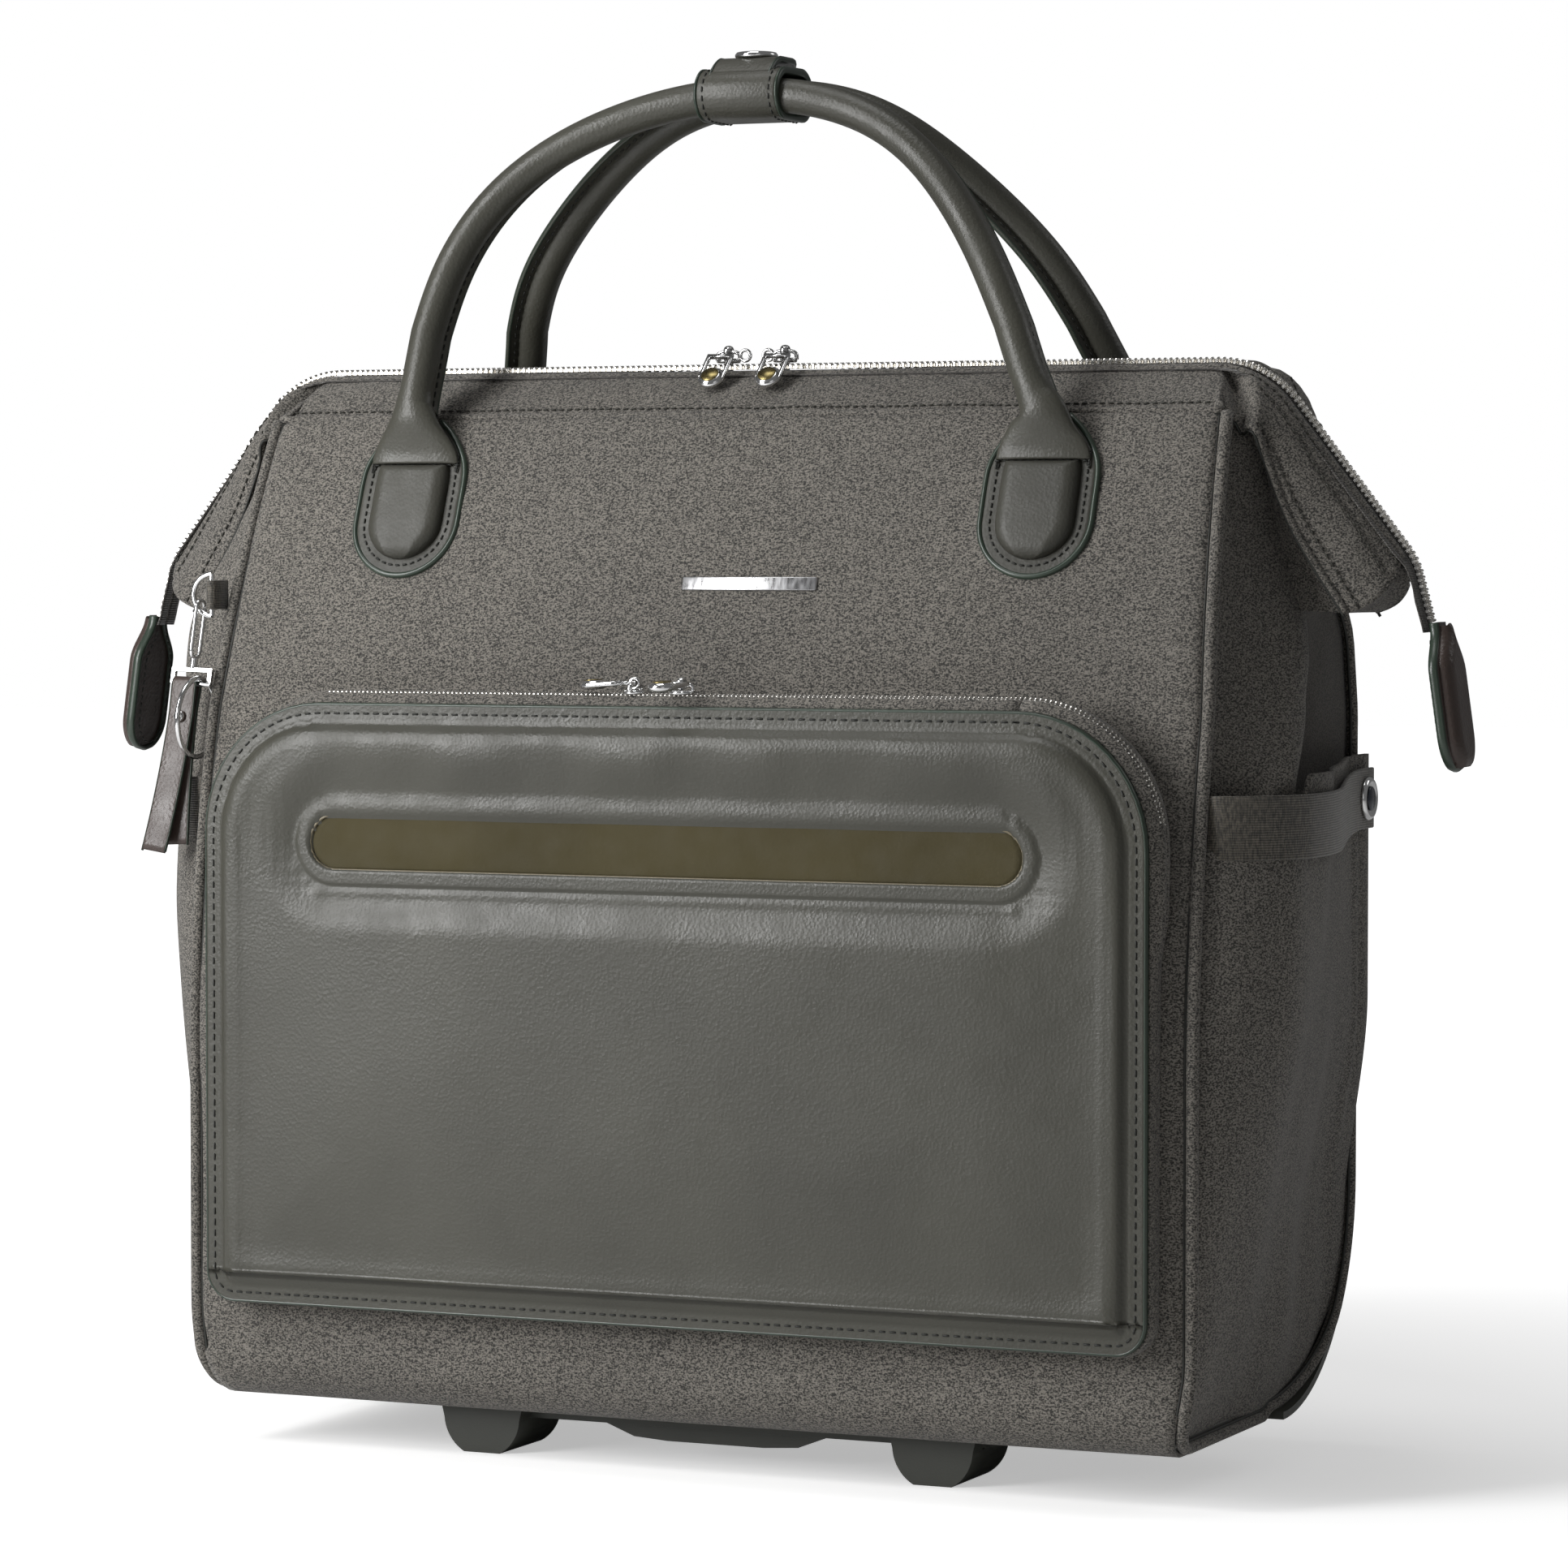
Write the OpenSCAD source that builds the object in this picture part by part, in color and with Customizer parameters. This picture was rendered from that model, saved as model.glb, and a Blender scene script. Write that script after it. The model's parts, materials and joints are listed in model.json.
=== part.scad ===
// Rolling laptop case: a soft doctor-style bag on a wheeled plastic chassis, with a telescoping pull
// handle, two carry handles snapped together by a leather wrap, a padded front pocket and side pockets.
// Frame: +X to the right seen from the front, the front faces -Y, +Z up. The origin is on the floor,
// under the middle of the top zip. Millimetres.

/* [Bag body] */
// Width of the bag across its piping
body_w = 430; // [420:2:440]
// Front face of the bag, measured forward from the zip line
front_d = 87; // [86:0.5:88]
// Rear face of the bag, measured back from the zip line
rear_d = 105; // [105:0.5:106]
// Height of the top zip above the floor
zip_h = 437.2; // [436:0.2:438]
// Thickness of the fabric panels with their padding
fabric_t = 3; // [2.5:0.1:3]

/* [Front pocket] */
// Width of the leather pocket front
pocket_w = 403; // [396:1:406]
// Top edge of the pocket above the floor
pocket_top = 303; // [300:1:304]
// Bottom edge of the pocket above the floor
pocket_bottom = 62; // [60:1:66]
// How far the pad of the pocket front stands out from its stitched rim
pad_t = 6.5; // [4:0.5:8]

/* [Carry handles] */
// Diameter of the rolled leather handle
handle_dia = 13.8; // [13:0.2:14]
// Height of the handle's centre line at the wrap
handle_top = 548; // [546:1:550]
// Distance from the middle of the bag to each handle foot
handle_foot_x = 137; // [135:1:138]

/* [Wheels and pull handle] */
// Wheel diameter over the tyre
wheel_dia = 64; // [62:1:64]
// Tyre width
wheel_w = 24; // [22:1:24]
// Distance from the middle of the bag to each wheel's centre
wheel_x = 130; // [126:1:132]
// Spacing of the two telescoping legs, each side of the middle
leg_x = 70; // [66:1:72]

/* [Hidden] */
$fn = 48;
eps = 0.01;
hw = body_w / 2;
fabric_z = 22;

// Front face: upright up to lean_z, then an arc that leans back to the seam under the top band.
lean_z = 160;
seam_z = 418;
seam_y = 29;
front_rise = seam_z - lean_z;
front_lean = front_d - seam_y;
front_r = (front_rise * front_rise + front_lean * front_lean) / (2 * front_lean);
function front_y(z) = z < lean_z ? -front_d : -front_d + front_r - sqrt(pow(front_r, 2) - pow(z - lean_z, 2));

// Rear face: an arc around the lower corner, upright, then a straight lean to the rear seam.
corner_r = 85;
corner_y = rear_d - corner_r;
corner_z = fabric_z + 3 + corner_r;
shoulder_z = 330;
rear_seam_y = 48;
rear_seam_z = 428;
channel_x = 106;
inner_back_y = 79;
function back_line(z) = rear_d - (z - shoulder_z) * (rear_d - rear_seam_y) / (rear_seam_z - shoulder_z);

// Wheels.
wheel_r = wheel_dia / 2;
axle_y = 82;
axle_r = 4;

// Telescoping legs.
leg_y = 90;
leg_low = 88;
leg_high = 387;
outer_size = [22, 15];
outer_bore = [19.6, 12.6];
mid_size = [18.8, 11.8];
mid_bore = [16.8, 9.8];
inner_size = [16, 9];
inner_bore = [14, 7];
bezel_t = 6;
collar_h = 5;
grip_z = leg_high + bezel_t + collar_h + 1;
grip_h = 26;

// Carry handles.
handle_r = handle_dia / 2;
wrap_y = 8;
front_foot = [-47, 405];
back_foot = [66.6, 408];
arch_r = 150;
arch_half = 55;
shoulder_r = 70;
shoulder_end = 86;

// Front pocket.
pocket_back_y = -98.4;
rim_t = 3;
rim_y = pocket_back_y - rim_t;
pocket_hw = pocket_w / 2;
pocket_corner = 52;
pocket_low_corner = 12;
pocket_zip_y = -92;
chain_t = 2.3;
chain_half = 3;
chain_gap = 0.6;
slot_l = 318;
slot_h = 34;
slot_z = 248;

// ---- helpers ----

// A drawing in X and Z, given thickness from y0 to y1.
module xz_slab(y0, y1) {
    translate([0, y1, 0]) rotate([90, 0, 0]) linear_extrude(y1 - y0) children();
}

// A drawing in Y and Z, given thickness from x0 to x1.
module yz_slab(x0, x1) {
    translate([x0, 0, 0]) rotate([90, 0, 90]) linear_extrude(x1 - x0) children();
}

// Both left and right copies.
module both() {
    children();
    mirror([1, 0, 0]) children();
}

module block(x0, x1, y0, y1, z0, z1) {
    translate([x0, y0, z0]) cube([x1 - x0, y1 - y0, z1 - z0]);
}

module rod_x(x0, x1, y, z, r) {
    translate([x0, y, z]) rotate([0, 90, 0]) cylinder(r = r, h = x1 - x0);
}

module rod_y(x, y0, y1, z, r) {
    translate([x, y1, z]) rotate([90, 0, 0]) cylinder(r = r, h = y1 - y0);
}

module rod_z(x, y, z0, z1, r) {
    translate([x, y, z0]) cylinder(r = r, h = z1 - z0);
}

// Ring around the X axis.
module ring_x(r, t) {
    rotate([0, 90, 0]) rotate_extrude() translate([r, 0]) circle(r = t, $fn = 24);
}

function arc_pts(cx, cy, r, a0, a1, n) = [for (i = [0 : n]) let (a = a0 + (a1 - a0) * i / n)
    [cx + r * cos(a), cy + r * sin(a)]];

// Front edge points from height z0 to z1, d outside the fabric face.
function front_pts(z0, z1, d) = concat([[-front_d - d, z0]],
    [for (i = [0 : 10]) let (z = lean_z + (z1 - lean_z) * i / 10) [front_y(z) - d, z]]);

// Rear edge points from the top down, d outside the fabric face.
function rear_pts(d) = concat([[rear_seam_y + d, rear_seam_z], [rear_d + d, shoulder_z]],
    arc_pts(corner_y, corner_z, corner_r + d, 0, -90, 12));

// Front-view outline with rounded bottom corners and a top that draws in.
module front_outline(d) {
    r = 26;
    w = hw + d;
    polygon(concat(arc_pts(w - r, fabric_z - d + r, r, -90, 0, 6), [[w, 300], [w - 7.5, seam_z]],
        [[-w + 7.5, seam_z], [-w, 300]], arc_pts(-w + r, fabric_z - d + r, r, 180, 270, 6)));
}

// ---- chassis ----

tray_z0 = 14;
tray_z1 = fabric_z;
screw_points = [for (x = [-80, 0, 80]) for (y = [-20, 10]) [x, y]];

module screw_holes(z0, z1) {
    for (p = screw_points) rod_z(p[0], p[1], z0, z1, 2.1);
}

module base_tray() color("darkolivegreen") {
    difference() {
        union() {
            translate([0, 0, tray_z0]) linear_extrude(tray_z1 - tray_z0) {
                translate([-116, -44]) square([232, 62]);
                translate([-110, -50]) square([220, 6]);
                for (s = [-1, 1]) translate([s * 110, -44]) circle(r = 6);
            }
            xz_slab(-48, -22) polygon([[-49, tray_z0], [-36, 9], [-21, 8], [21, 8], [36, 9], [49, tray_z0]]);
        }
        block(-18, 18, -40, -30, 0, tray_z0 - 1);
        screw_holes(0, 40);
        for (p = screw_points) rod_z(p[0], p[1], 0, tray_z0 + 2, 4.2);
    }
}

module front_feet() color("darkolivegreen") both() {
    foot_x = 98.5;
    difference() {
        xz_slab(-60, -22) union() {
            translate([foot_x, 15]) circle(r = 17);
            polygon([[foot_x - 19, fabric_z], [foot_x - 17, 14], [foot_x + 17, 14], [foot_x + 19, fabric_z]]);
        }
        block(-300, 300, -300, 300, -50, 0);
        block(-300, 300, -300, 300, fabric_z, 90);
        block(-300, 300, -50, 100, tray_z0, 90);
    }
}

module chassis_screws() color("silver") {
    for (p = screw_points) {
        rod_z(p[0], p[1], tray_z0, tray_z0 + 2, 3.8);
        rod_z(p[0], p[1], tray_z0 + 2, 28, 1.9);
    }
}

// Curved plastic shell around the lower rear edge, with two wheel wells and the ears for the axles.
shell_t = 3;
well_r = wheel_r + 4;
ear_t = 4;
ear_in = wheel_x - wheel_w / 2 - 2.5 - ear_t;
ear_out = wheel_x + wheel_w / 2 + 2.5;

module corner_sector(r) {
    intersection() {
        translate([corner_y, corner_z]) circle(r = r, $fn = 96);
        translate([corner_y, -10]) square([200, corner_z + 10]);
    }
}

// Side view of a well: the cup inside the shell and the lug that hangs below it around the axle.
module lug() {
    translate([axle_y, wheel_r]) circle(r = 13);
    polygon([[axle_y - 13, wheel_r], [axle_y + 13, wheel_r], [axle_y + 9, wheel_r + 26], [axle_y - 24, wheel_r + 12]]);
}

module rear_chassis() color("darkolivegreen") difference() {
    union() {
        difference() {
            yz_slab(-hw, hw) difference() {
                corner_sector(corner_r + shell_t);
                corner_sector(corner_r);
            }
            for (s = [-1, 1]) rod_x(s * wheel_x - 14.4, s * wheel_x + 14.4, axle_y, wheel_r, well_r);
        }
        both() difference() {
            union() {
                yz_slab(ear_in, ear_out + ear_t) intersection() {
                    translate([axle_y, wheel_r]) circle(r = well_r + 2.5, $fn = 96);
                    corner_sector(corner_r + 1);
                }
                yz_slab(ear_in, ear_out + ear_t) lug();
            }
            rod_x(ear_in + ear_t, ear_out, axle_y, wheel_r, well_r);
        }
    }
    both() rod_x(ear_in - 5, ear_out + ear_t + 5, axle_y, wheel_r, axle_r);
}

module axles() color("silver") both() {
    rod_x(ear_in - 2, ear_out + ear_t + 2, axle_y, wheel_r, axle_r);
    rod_x(ear_in - 3.5, ear_in - eps, axle_y, wheel_r, 6);
    rod_x(ear_out + ear_t + eps, ear_out + ear_t + 3.5, axle_y, wheel_r, 6);
}

module wheel_hub(s) color("dimgray") {
    translate([s * wheel_x, axle_y, wheel_r]) rotate([0, 90, 0]) difference() {
        rotate_extrude(convexity = 4) polygon([[axle_r + 0.05, -13], [9, -13], [9, -6], [wheel_r - 9, -6],
            [wheel_r - 9, -10], [wheel_r - 6, -10], [wheel_r - 6, 10], [wheel_r - 9, 10], [wheel_r - 9, 6],
            [9, 6], [9, 13], [axle_r + 0.05, 13]]);
        for (a = [0 : 60 : 300]) rotate([0, 0, a + 30]) translate([16, 0, -20]) cylinder(r = 4, h = 40);
    }
}

module tyre(s) color("black") {
    half = wheel_w / 2;
    translate([s * wheel_x, axle_y, wheel_r]) rotate([0, 90, 0]) rotate_extrude(convexity = 4)
        polygon([[wheel_r - 6, -half], [wheel_r - 2.5, -half], [wheel_r - 0.6, -half + 3], [wheel_r, -half + 7],
            [wheel_r, half - 7], [wheel_r - 0.6, half - 3], [wheel_r - 2.5, half], [wheel_r - 6, half]]);
}

// ---- fabric shell ----

module bottom_panel() color("dimgray") difference() {
    block(-hw + 8, hw - 8, -front_d + fabric_t + 3, corner_y, fabric_z, fabric_z + 3);
    screw_holes(0, 60);
}

module stiffener_boards() color("tan") {
    difference() {
        block(-hw + 8, hw - 8, -front_d + fabric_t + 3, corner_y - 1, fabric_z + 3, fabric_z + 6);
        screw_holes(0, 60);
    }
    block(-hw + 20, hw - 20, inner_back_y - 6, inner_back_y - 3, 90, 360);
}

module front_panel() color("dimgray") intersection() {
    yz_slab(-hw, hw) polygon(concat(front_pts(fabric_z, seam_z, 0),
        [for (i = [10 : -1 : 0]) let (z = lean_z + (seam_z - lean_z) * i / 10) [front_y(z) + fabric_t, z]],
        [[-front_d + fabric_t, fabric_z]]));
    xz_slab(-200, 200) front_outline(-5.2);
}

module back_panel() color("dimgray") difference() {
    yz_slab(-hw + fabric_t + 1, hw - fabric_t - 1) polygon([[inner_back_y - fabric_t, 86],
        [inner_back_y, 86], [inner_back_y, 374.7], [rear_seam_y, rear_seam_z],
        [rear_seam_y - fabric_t, rear_seam_z - 2], [inner_back_y - fabric_t, 373]]);
    xz_slab(-200, 200) difference() {
        square([900, 2000], center = true);
        front_outline(-4.2);
    }
}

module side_gussets() color("dimgray") both() intersection() {
    xz_slab(-200, 200) polygon([[hw, 48], [hw, 300], [hw - 5.8, 392], [hw - 5.8 - fabric_t, 392],
        [hw - fabric_t, 300], [hw - fabric_t, 48]]);
    yz_slab(0, hw) difference() {
        polygon(concat(front_pts(fabric_z, seam_z, -6.2), rear_pts(-6.2)));
        polygon([[-10, 700], [-34, 376], [34, 376], [10, 700]]);
    }
}

module rear_cover() color("dimgray") {
    top = leg_high + bezel_t;
    block(-hw + 6.2, hw - 6.2, rear_d - fabric_t, rear_d, corner_z + 1, shoulder_z);
    both() yz_slab(channel_x, hw - 8) polygon([[rear_d - fabric_t, shoulder_z - eps], [rear_d, shoulder_z - eps],
        [back_line(371), 371], [back_line(371) - 2, 369.5]]);
    block(-channel_x, channel_x, rear_d - fabric_t, rear_d, shoulder_z - eps, top);
    both() block(channel_x - 2, channel_x, inner_back_y + 0.5, rear_d, shoulder_z - 10, top);
}

band_t = 2.4;
tape_half = 11;

module top_band_front() color("dimgray") intersection() {
    yz_slab(-hw, hw) polygon([[-seam_y, seam_z + 0.3], [-tape_half - 0.5, zip_h - 1.2],
        [-tape_half - 0.5, zip_h - 1.2 - band_t], [-seam_y + band_t, seam_z + 0.3]]);
    xz_slab(-200, 200) polygon([[-205, 300], [205, 300], [190, 500], [-190, 500]]);
}

module top_band_back() color("dimgray") intersection() {
    yz_slab(-hw, hw) polygon([[tape_half + 0.5, zip_h - 1.2], [30, zip_h + 1.5], [rear_seam_y - 2, rear_seam_z + 4],
        [rear_seam_y, rear_seam_z + 0.3], [rear_seam_y - band_t, rear_seam_z + 0.3],
        [28, zip_h - 1.2], [tape_half + 0.5, zip_h - 1.2 - band_t]]);
    xz_slab(-200, 200) polygon([[-205, 300], [205, 300], [190, 500], [-190, 500]]);
}

// Zip path: straight along the top, over the corner, down the slope and into the tail.
turn_1 = 52;
turn_2 = 75;
bend_x = 194;
bend_r1 = 40;
slope_l = 72;
bend_r2 = 30;
tail_l = 22;
slope_x0 = bend_x + bend_r1 * sin(turn_1);
slope_z0 = zip_h - bend_r1 + bend_r1 * cos(turn_1);
bend2_x = slope_x0 + slope_l * cos(turn_1) - bend_r2 * sin(turn_1);
bend2_z = slope_z0 - slope_l * sin(turn_1) - bend_r2 * cos(turn_1);
tail_x = bend2_x + bend_r2 * sin(turn_2);
tail_z = bend2_z + bend_r2 * cos(turn_2);
tail_end_x = tail_x + tail_l * cos(turn_2);
tail_end_z = tail_z - tail_l * sin(turn_2);

// Right half of the path, d outside the tape's outer face.
function zip_half(d) = concat(arc_pts(bend_x, zip_h - bend_r1, bend_r1 + d, 90, 90 - turn_1, 8),
    arc_pts(bend2_x, bend2_z, bend_r2 + d, 90 - turn_1, 90 - turn_2, 4),
    [[tail_end_x + d * sin(turn_2), tail_end_z + d * cos(turn_2)]]);
function flip(pts) = [for (i = [len(pts) - 1 : -1 : 0]) [-pts[i][0], pts[i][1]]];
function turned(pts) = [for (i = [len(pts) - 1 : -1 : 0]) pts[i]];
function zip_line(d) = concat(flip(zip_half(d)), zip_half(d));

module zip_strip(d0, d1) {
    polygon(concat(zip_line(d1), turned(zip_line(d0))));
}

// Hollow fabric wedge under the sloping zip: three edge lines, the ridge and two lower seams.
module wing_form(top, top_end, low, low_end, w0, w1) {
    polyhedron(points = [[top[0], 0, top[1]], [top_end[0], 0, top_end[1]], [low[0], -w0, low[1]],
        [low_end[0], -w1, low_end[1]], [low[0], w0, low[1]], [low_end[0], w1, low_end[1]]],
        faces = [[1, 3, 2, 0], [4, 5, 1, 0], [3, 5, 4, 2], [2, 4, 0], [5, 3, 1]]);
}

module top_wings() color("dimgray") both() difference() {
    wing_form([208, 425.5], [266, 357], [207, 396], [254, 339], 24, 18);
    wing_form([210, 420], [262, 356], [204, 398.8], [252.5, 342.4], 20, 15);
    block(150, 209, -60, 60, 300, 500);
}

module mouth_frames() color("silver") for (s = [-1, 1]) {
    bar_z = 420;
    leg_at = 198;
    bend = 14;
    rod_x(-leg_at + bend, leg_at - bend, s * 12, bar_z, 2);
    both() {
        translate([leg_at - bend, s * 12, bar_z - bend]) rotate([90, 0, 0]) rotate_extrude(angle = 90)
            translate([bend, 0]) circle(r = 2, $fn = 24);
        rod_z(leg_at, s * 12, 330, bar_z - bend, 2);
    }
}

module cord() {
    difference() {
        front_outline(0);
        front_outline(-5);
        translate([-400, seam_z - 1]) square([800, 100]);
    }
}

module piping() color("dimgray") {
    intersection() {
        xz_slab(-200, 200) cord();
        yz_slab(-hw, hw) polygon(concat(front_pts(fabric_z, seam_z, 1.5), turned(front_pts(fabric_z, seam_z, -4))));
    }
    both() block(hw - 5, hw, rear_d - 5, rear_d, corner_z + 1, shoulder_z);
}

module zip_tapes() color("dimgray") {
    for (y = [[-tape_half, -chain_gap], [chain_gap, tape_half]]) xz_slab(y[0], y[1]) zip_strip(-0.8, 0);
    for (y = [[pocket_zip_y - 4.6, pocket_zip_y - chain_gap], [pocket_zip_y + chain_gap, pocket_zip_y + 4.6]])
        xz_slab(y[0], y[1]) pocket_chain(-0.6, 0);
}

module zip_teeth() color("silver") {
    for (y = [[-chain_half, -chain_gap], [chain_gap, chain_half]]) xz_slab(y[0], y[1]) zip_strip(0, chain_t);
    for (y = [[pocket_zip_y - 2.6, pocket_zip_y - chain_gap], [pocket_zip_y + chain_gap, pocket_zip_y + 2.6]])
        xz_slab(y[0], y[1]) pocket_chain(0, 1.8);
}

// ---- zip sliders and pulls ----

// A slider with its channel around the chain; its origin is the tape's outer face on the chain's middle.
module slider(t, under) {
    block(-5.5, 5.5, -4.6, 4.6, t + 0.3, t + 1.8);
    block(-5.5, 5.5, -4.3, 4.3, -under - 1.3, -under);
    block(-2, 2, -0.35, 0.35, -under - eps, t + 0.3 + eps);
}

// Bridge bar along the slider's X axis, for a pull that swings across the zip.
bar_rise = 3;

module bridge_x(z) {
    rod_x(-5.5, 5.5, 0, z + bar_rise, 1);
    for (s = [-1, 1]) block(s * 4.7 - 0.8, s * 4.7 + 0.8, -1, 1, z - eps, z + bar_rise);
}

// Frame-shaped pull with a domed end: a link from its ring at the origin along -Y, then a bend down.
module pull(link, bend, length) {
    ring_x(1.95, 0.65);
    block(-1.3, 1.3, -link, -2.2, -0.8, 0.8);
    translate([0, -link, 0]) rotate([bend, 0, 0]) difference() {
        union() {
            block(-4.6, 4.6, -length + 5, 0, -0.9, 0.9);
            translate([0, -length + 5, -1.4]) cylinder(r = 5, h = 2.8);
        }
        block(-2.9, 2.9, -length + 9.5, -2, -2, 2);
    }
}

main_pull_l = 18;
main_tilt = 12;
main_bend = 33;
main_left_x = -16;
main_right_x = 9;
bridge_h = chain_t + 1.8;

module main_slider(x) color("silver") translate([x, 0, zip_h]) {
    slider(chain_t, 1.1);
    bridge_x(bridge_h);
}

module main_pull(x) color("silver") translate([x, 0, zip_h + bridge_h + bar_rise]) rotate([main_tilt, 0, 0])
    pull(8, main_bend, main_pull_l);

pocket_left_x = -14;
pocket_right_x = 6;
pocket_bridge_h = 1.8 + 1.8;

module pocket_slider(x, turn) color("silver") translate([x, pocket_zip_y, pocket_top - 1]) {
    slider(1.8, 0.9);
    rotate([0, 0, turn]) bridge_x(pocket_bridge_h);
}

module pocket_pull(x, turn) color("silver")
    translate([x, pocket_zip_y, pocket_top - 1 + pocket_bridge_h + bar_rise])
        rotate([0, 0, turn]) pull(5, 4, 18);

module zip_tab(s) color("saddlebrown") mirror([s < 0 ? 1 : 0, 0, 0])
    translate([tail_end_x + 0.5, 0, tail_end_z - 1]) rotate([0, -8, 0]) {
        yz_slab(-1.6, 1.4) tab_outline(0);
        yz_slab(1.4, 5.2) tab_outline(-4);
    }

// Rounded tab hanging down from its top edge.
module tab_outline(d) {
    w = 13 + d;
    translate([0, -14]) circle(r = w);
    translate([-w, -40]) square([2 * w, 26]);
    translate([0, -40]) circle(r = w);
}

// ---- inside ----

module laptop_sleeve() color("slategray") {
    y1 = inner_back_y - 6 - 1;
    block(-188, 188, y1 - 4, y1, 90, 350);
    block(-188, 188, y1 - 34, y1 - 30, 90, 300);
    both() block(184, 188, y1 - 30, y1 - 4, 90, 300);
    block(-188, 188, y1 - 34, y1, 86, 90);
}

// ---- front pocket ----

// Pocket outline with large upper and small lower corners, d outside the leather's edge.
module pocket_outline(d) {
    w = pocket_hw + d;
    r1 = pocket_corner + d;
    r2 = max(pocket_low_corner + d, 2);
    z0 = pocket_bottom - d;
    z1 = pocket_top + d;
    union() {
        for (s = [-1, 1]) translate([s * (w - r1), z1 - r1]) circle(r = r1, $fn = 96);
        for (s = [-1, 1]) translate([s * (w - r2), z0 + r2]) circle(r = r2, $fn = 48);
        translate([-w + r1, z1 - r1]) square([2 * (w - r1), r1]);
        translate([-w, z0 + r2]) square([2 * w, z1 - r1 - z0 - r2]);
        translate([-w + r2, z0]) square([2 * (w - r2), r2 + 1]);
    }
}

// Zip chain of the pocket: along the top and down the right side, offsets from the gusset's face.
module pocket_chain(d0, d1) intersection() {
    difference() {
        pocket_outline(-1 + d1);
        pocket_outline(-1 + d0);
    }
    union() {
        translate([-150, pocket_top - 60]) square([340, 100]);
        translate([100, 218]) square([150, pocket_top - 218]);
    }
}

module pocket_gusset() color("dimgray") difference() {
    xz_slab(pocket_back_y, -55) difference() {
        pocket_outline(-1);
        pocket_outline(-3.5);
    }
    yz_slab(-300, 300) polygon(concat(front_pts(-10, seam_z, 0.4), [[300, seam_z], [300, -10]]));
    xz_slab(pocket_zip_y - 4.6, pocket_zip_y + 4.6) pocket_chain(-6, 3);
    block(-150, 150, pocket_zip_y - 5, pocket_zip_y + 5, pocket_top - 8, pocket_top + 5);
}

module slot_outline(l, h) {
    translate([0, slot_z]) {
        square([l - h, h], center = true);
        for (s = [-1, 1]) translate([s * (l - h) / 2, 0]) circle(r = h / 2);
    }
}

module pocket_front() color("darkslategray") {
    xz_slab(rim_y, pocket_back_y - eps) pocket_outline(0);
    xz_slab(rim_y - pad_t, rim_y + eps) difference() {
        pocket_outline(-16);
        slot_outline(slot_l, slot_h);
    }
}

module window_inset() color("olive") xz_slab(rim_y - 1.2, rim_y) slot_outline(slot_l - 12, slot_h - 12);

module name_bar() color("silver") block(-9, 49, front_y(346) - 2.6, front_y(346) - 0.4, 346, 354);

// ---- carry handles ----

// Rolled handle: a wide arch, tighter shoulders and straight legs, standing on its hinge line.
module arch(rise) {
    c1 = rise - arch_r;
    c2 = [(arch_r - shoulder_r) * sin(arch_half), c1 + (arch_r - shoulder_r) * cos(arch_half)];
    leg_top = [c2[0] + shoulder_r * sin(shoulder_end), c2[1] + shoulder_r * cos(shoulder_end)];
    translate([0, 0, c1]) rotate([90, 0, 0]) rotate([0, 0, 89 - arch_half])
        rotate_extrude(angle = 2 * arch_half + 2) translate([arch_r, 0]) circle(r = handle_r);
    both() {
        translate([c2[0], 0, c2[1]]) rotate([90, 0, 0]) rotate([0, 0, 90 - shoulder_end])
            rotate_extrude(angle = shoulder_end - arch_half) translate([shoulder_r, 0]) circle(r = handle_r - 0.1);
        translate([leg_top[0], 0, leg_top[1]]) rotate([0, 180 - (90 - shoulder_end), 0])
            translate([0, 0, -2]) cylinder(r = handle_r - 0.2, h = leg_top[1] - 8);
    }
}

module leaning_arch(foot, side) {
    dy = abs(foot[0]) - wrap_y;
    dz = handle_top - foot[1];
    translate([0, foot[0], foot[1]]) rotate([side * atan2(dy, dz), 0, 0]) arch(sqrt(dy * dy + dz * dz));
}

module carry_handle_front() color("darkslategray") leaning_arch(front_foot, -1);
module carry_handle_back() color("darkslategray") leaning_arch(back_foot, 1);

module patch_outline() {
    translate([0, 20.5]) circle(r = 20.5);
    translate([-20.5, 20.5]) square([41, 30]);
}

module handle_patches() color("darkslategray") both() {
    z = 378;
    lean = asin((z - lean_z) / front_r);
    translate([handle_foot_x, front_y(z), z]) rotate([90 - lean, 0, 0])
        translate([0, -26, 1.2]) linear_extrude(4) patch_outline();
    back_lean = atan2(rear_d - rear_seam_y, rear_seam_z - shoulder_z);
    translate([handle_foot_x, rear_d, shoulder_z]) rotate([90 + back_lean, 0, 0])
        translate([0, 34, -5.2]) linear_extrude(4) patch_outline();
}

// Leather strap around both handles: close on the front handle, loose around the back one.
wrap_x0 = -23;
wrap_x1 = 13;
wrap_bore = handle_r + 1.3;
wrap_z = handle_top - 0.9;
wrap_t = 2.3;
loose = 2.1;

module wrap_section(d) {
    r = wrap_bore + d;
    r2 = wrap_bore + loose + d;
    translate([-wrap_y, wrap_z]) circle(r = r);
    translate([wrap_y + 0.6, wrap_z]) circle(r = r2);
    polygon([[-wrap_y, wrap_z - r], [wrap_y + 0.6, wrap_z - r2], [wrap_y + 0.6, wrap_z + r2],
        [-wrap_y, wrap_z + r]]);
}

module handle_wrap() color("darkslategray") yz_slab(wrap_x0, wrap_x1) difference() {
    wrap_section(wrap_t);
    wrap_section(0);
}

flap_z = wrap_z + wrap_bore + wrap_t + loose + 0.4;
snap_x = -5;

module wrap_flap() color("darkslategray") difference() {
    translate([snap_x, 0, flap_z]) union() {
        block(-13, 13, -9, 9, 0, 2.2);
        translate([0, 9, 0]) cylinder(r = 13, h = 2.2);
    }
    rod_z(snap_x, 3, flap_z - 1, flap_z + 5, 2.5);
}

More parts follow.
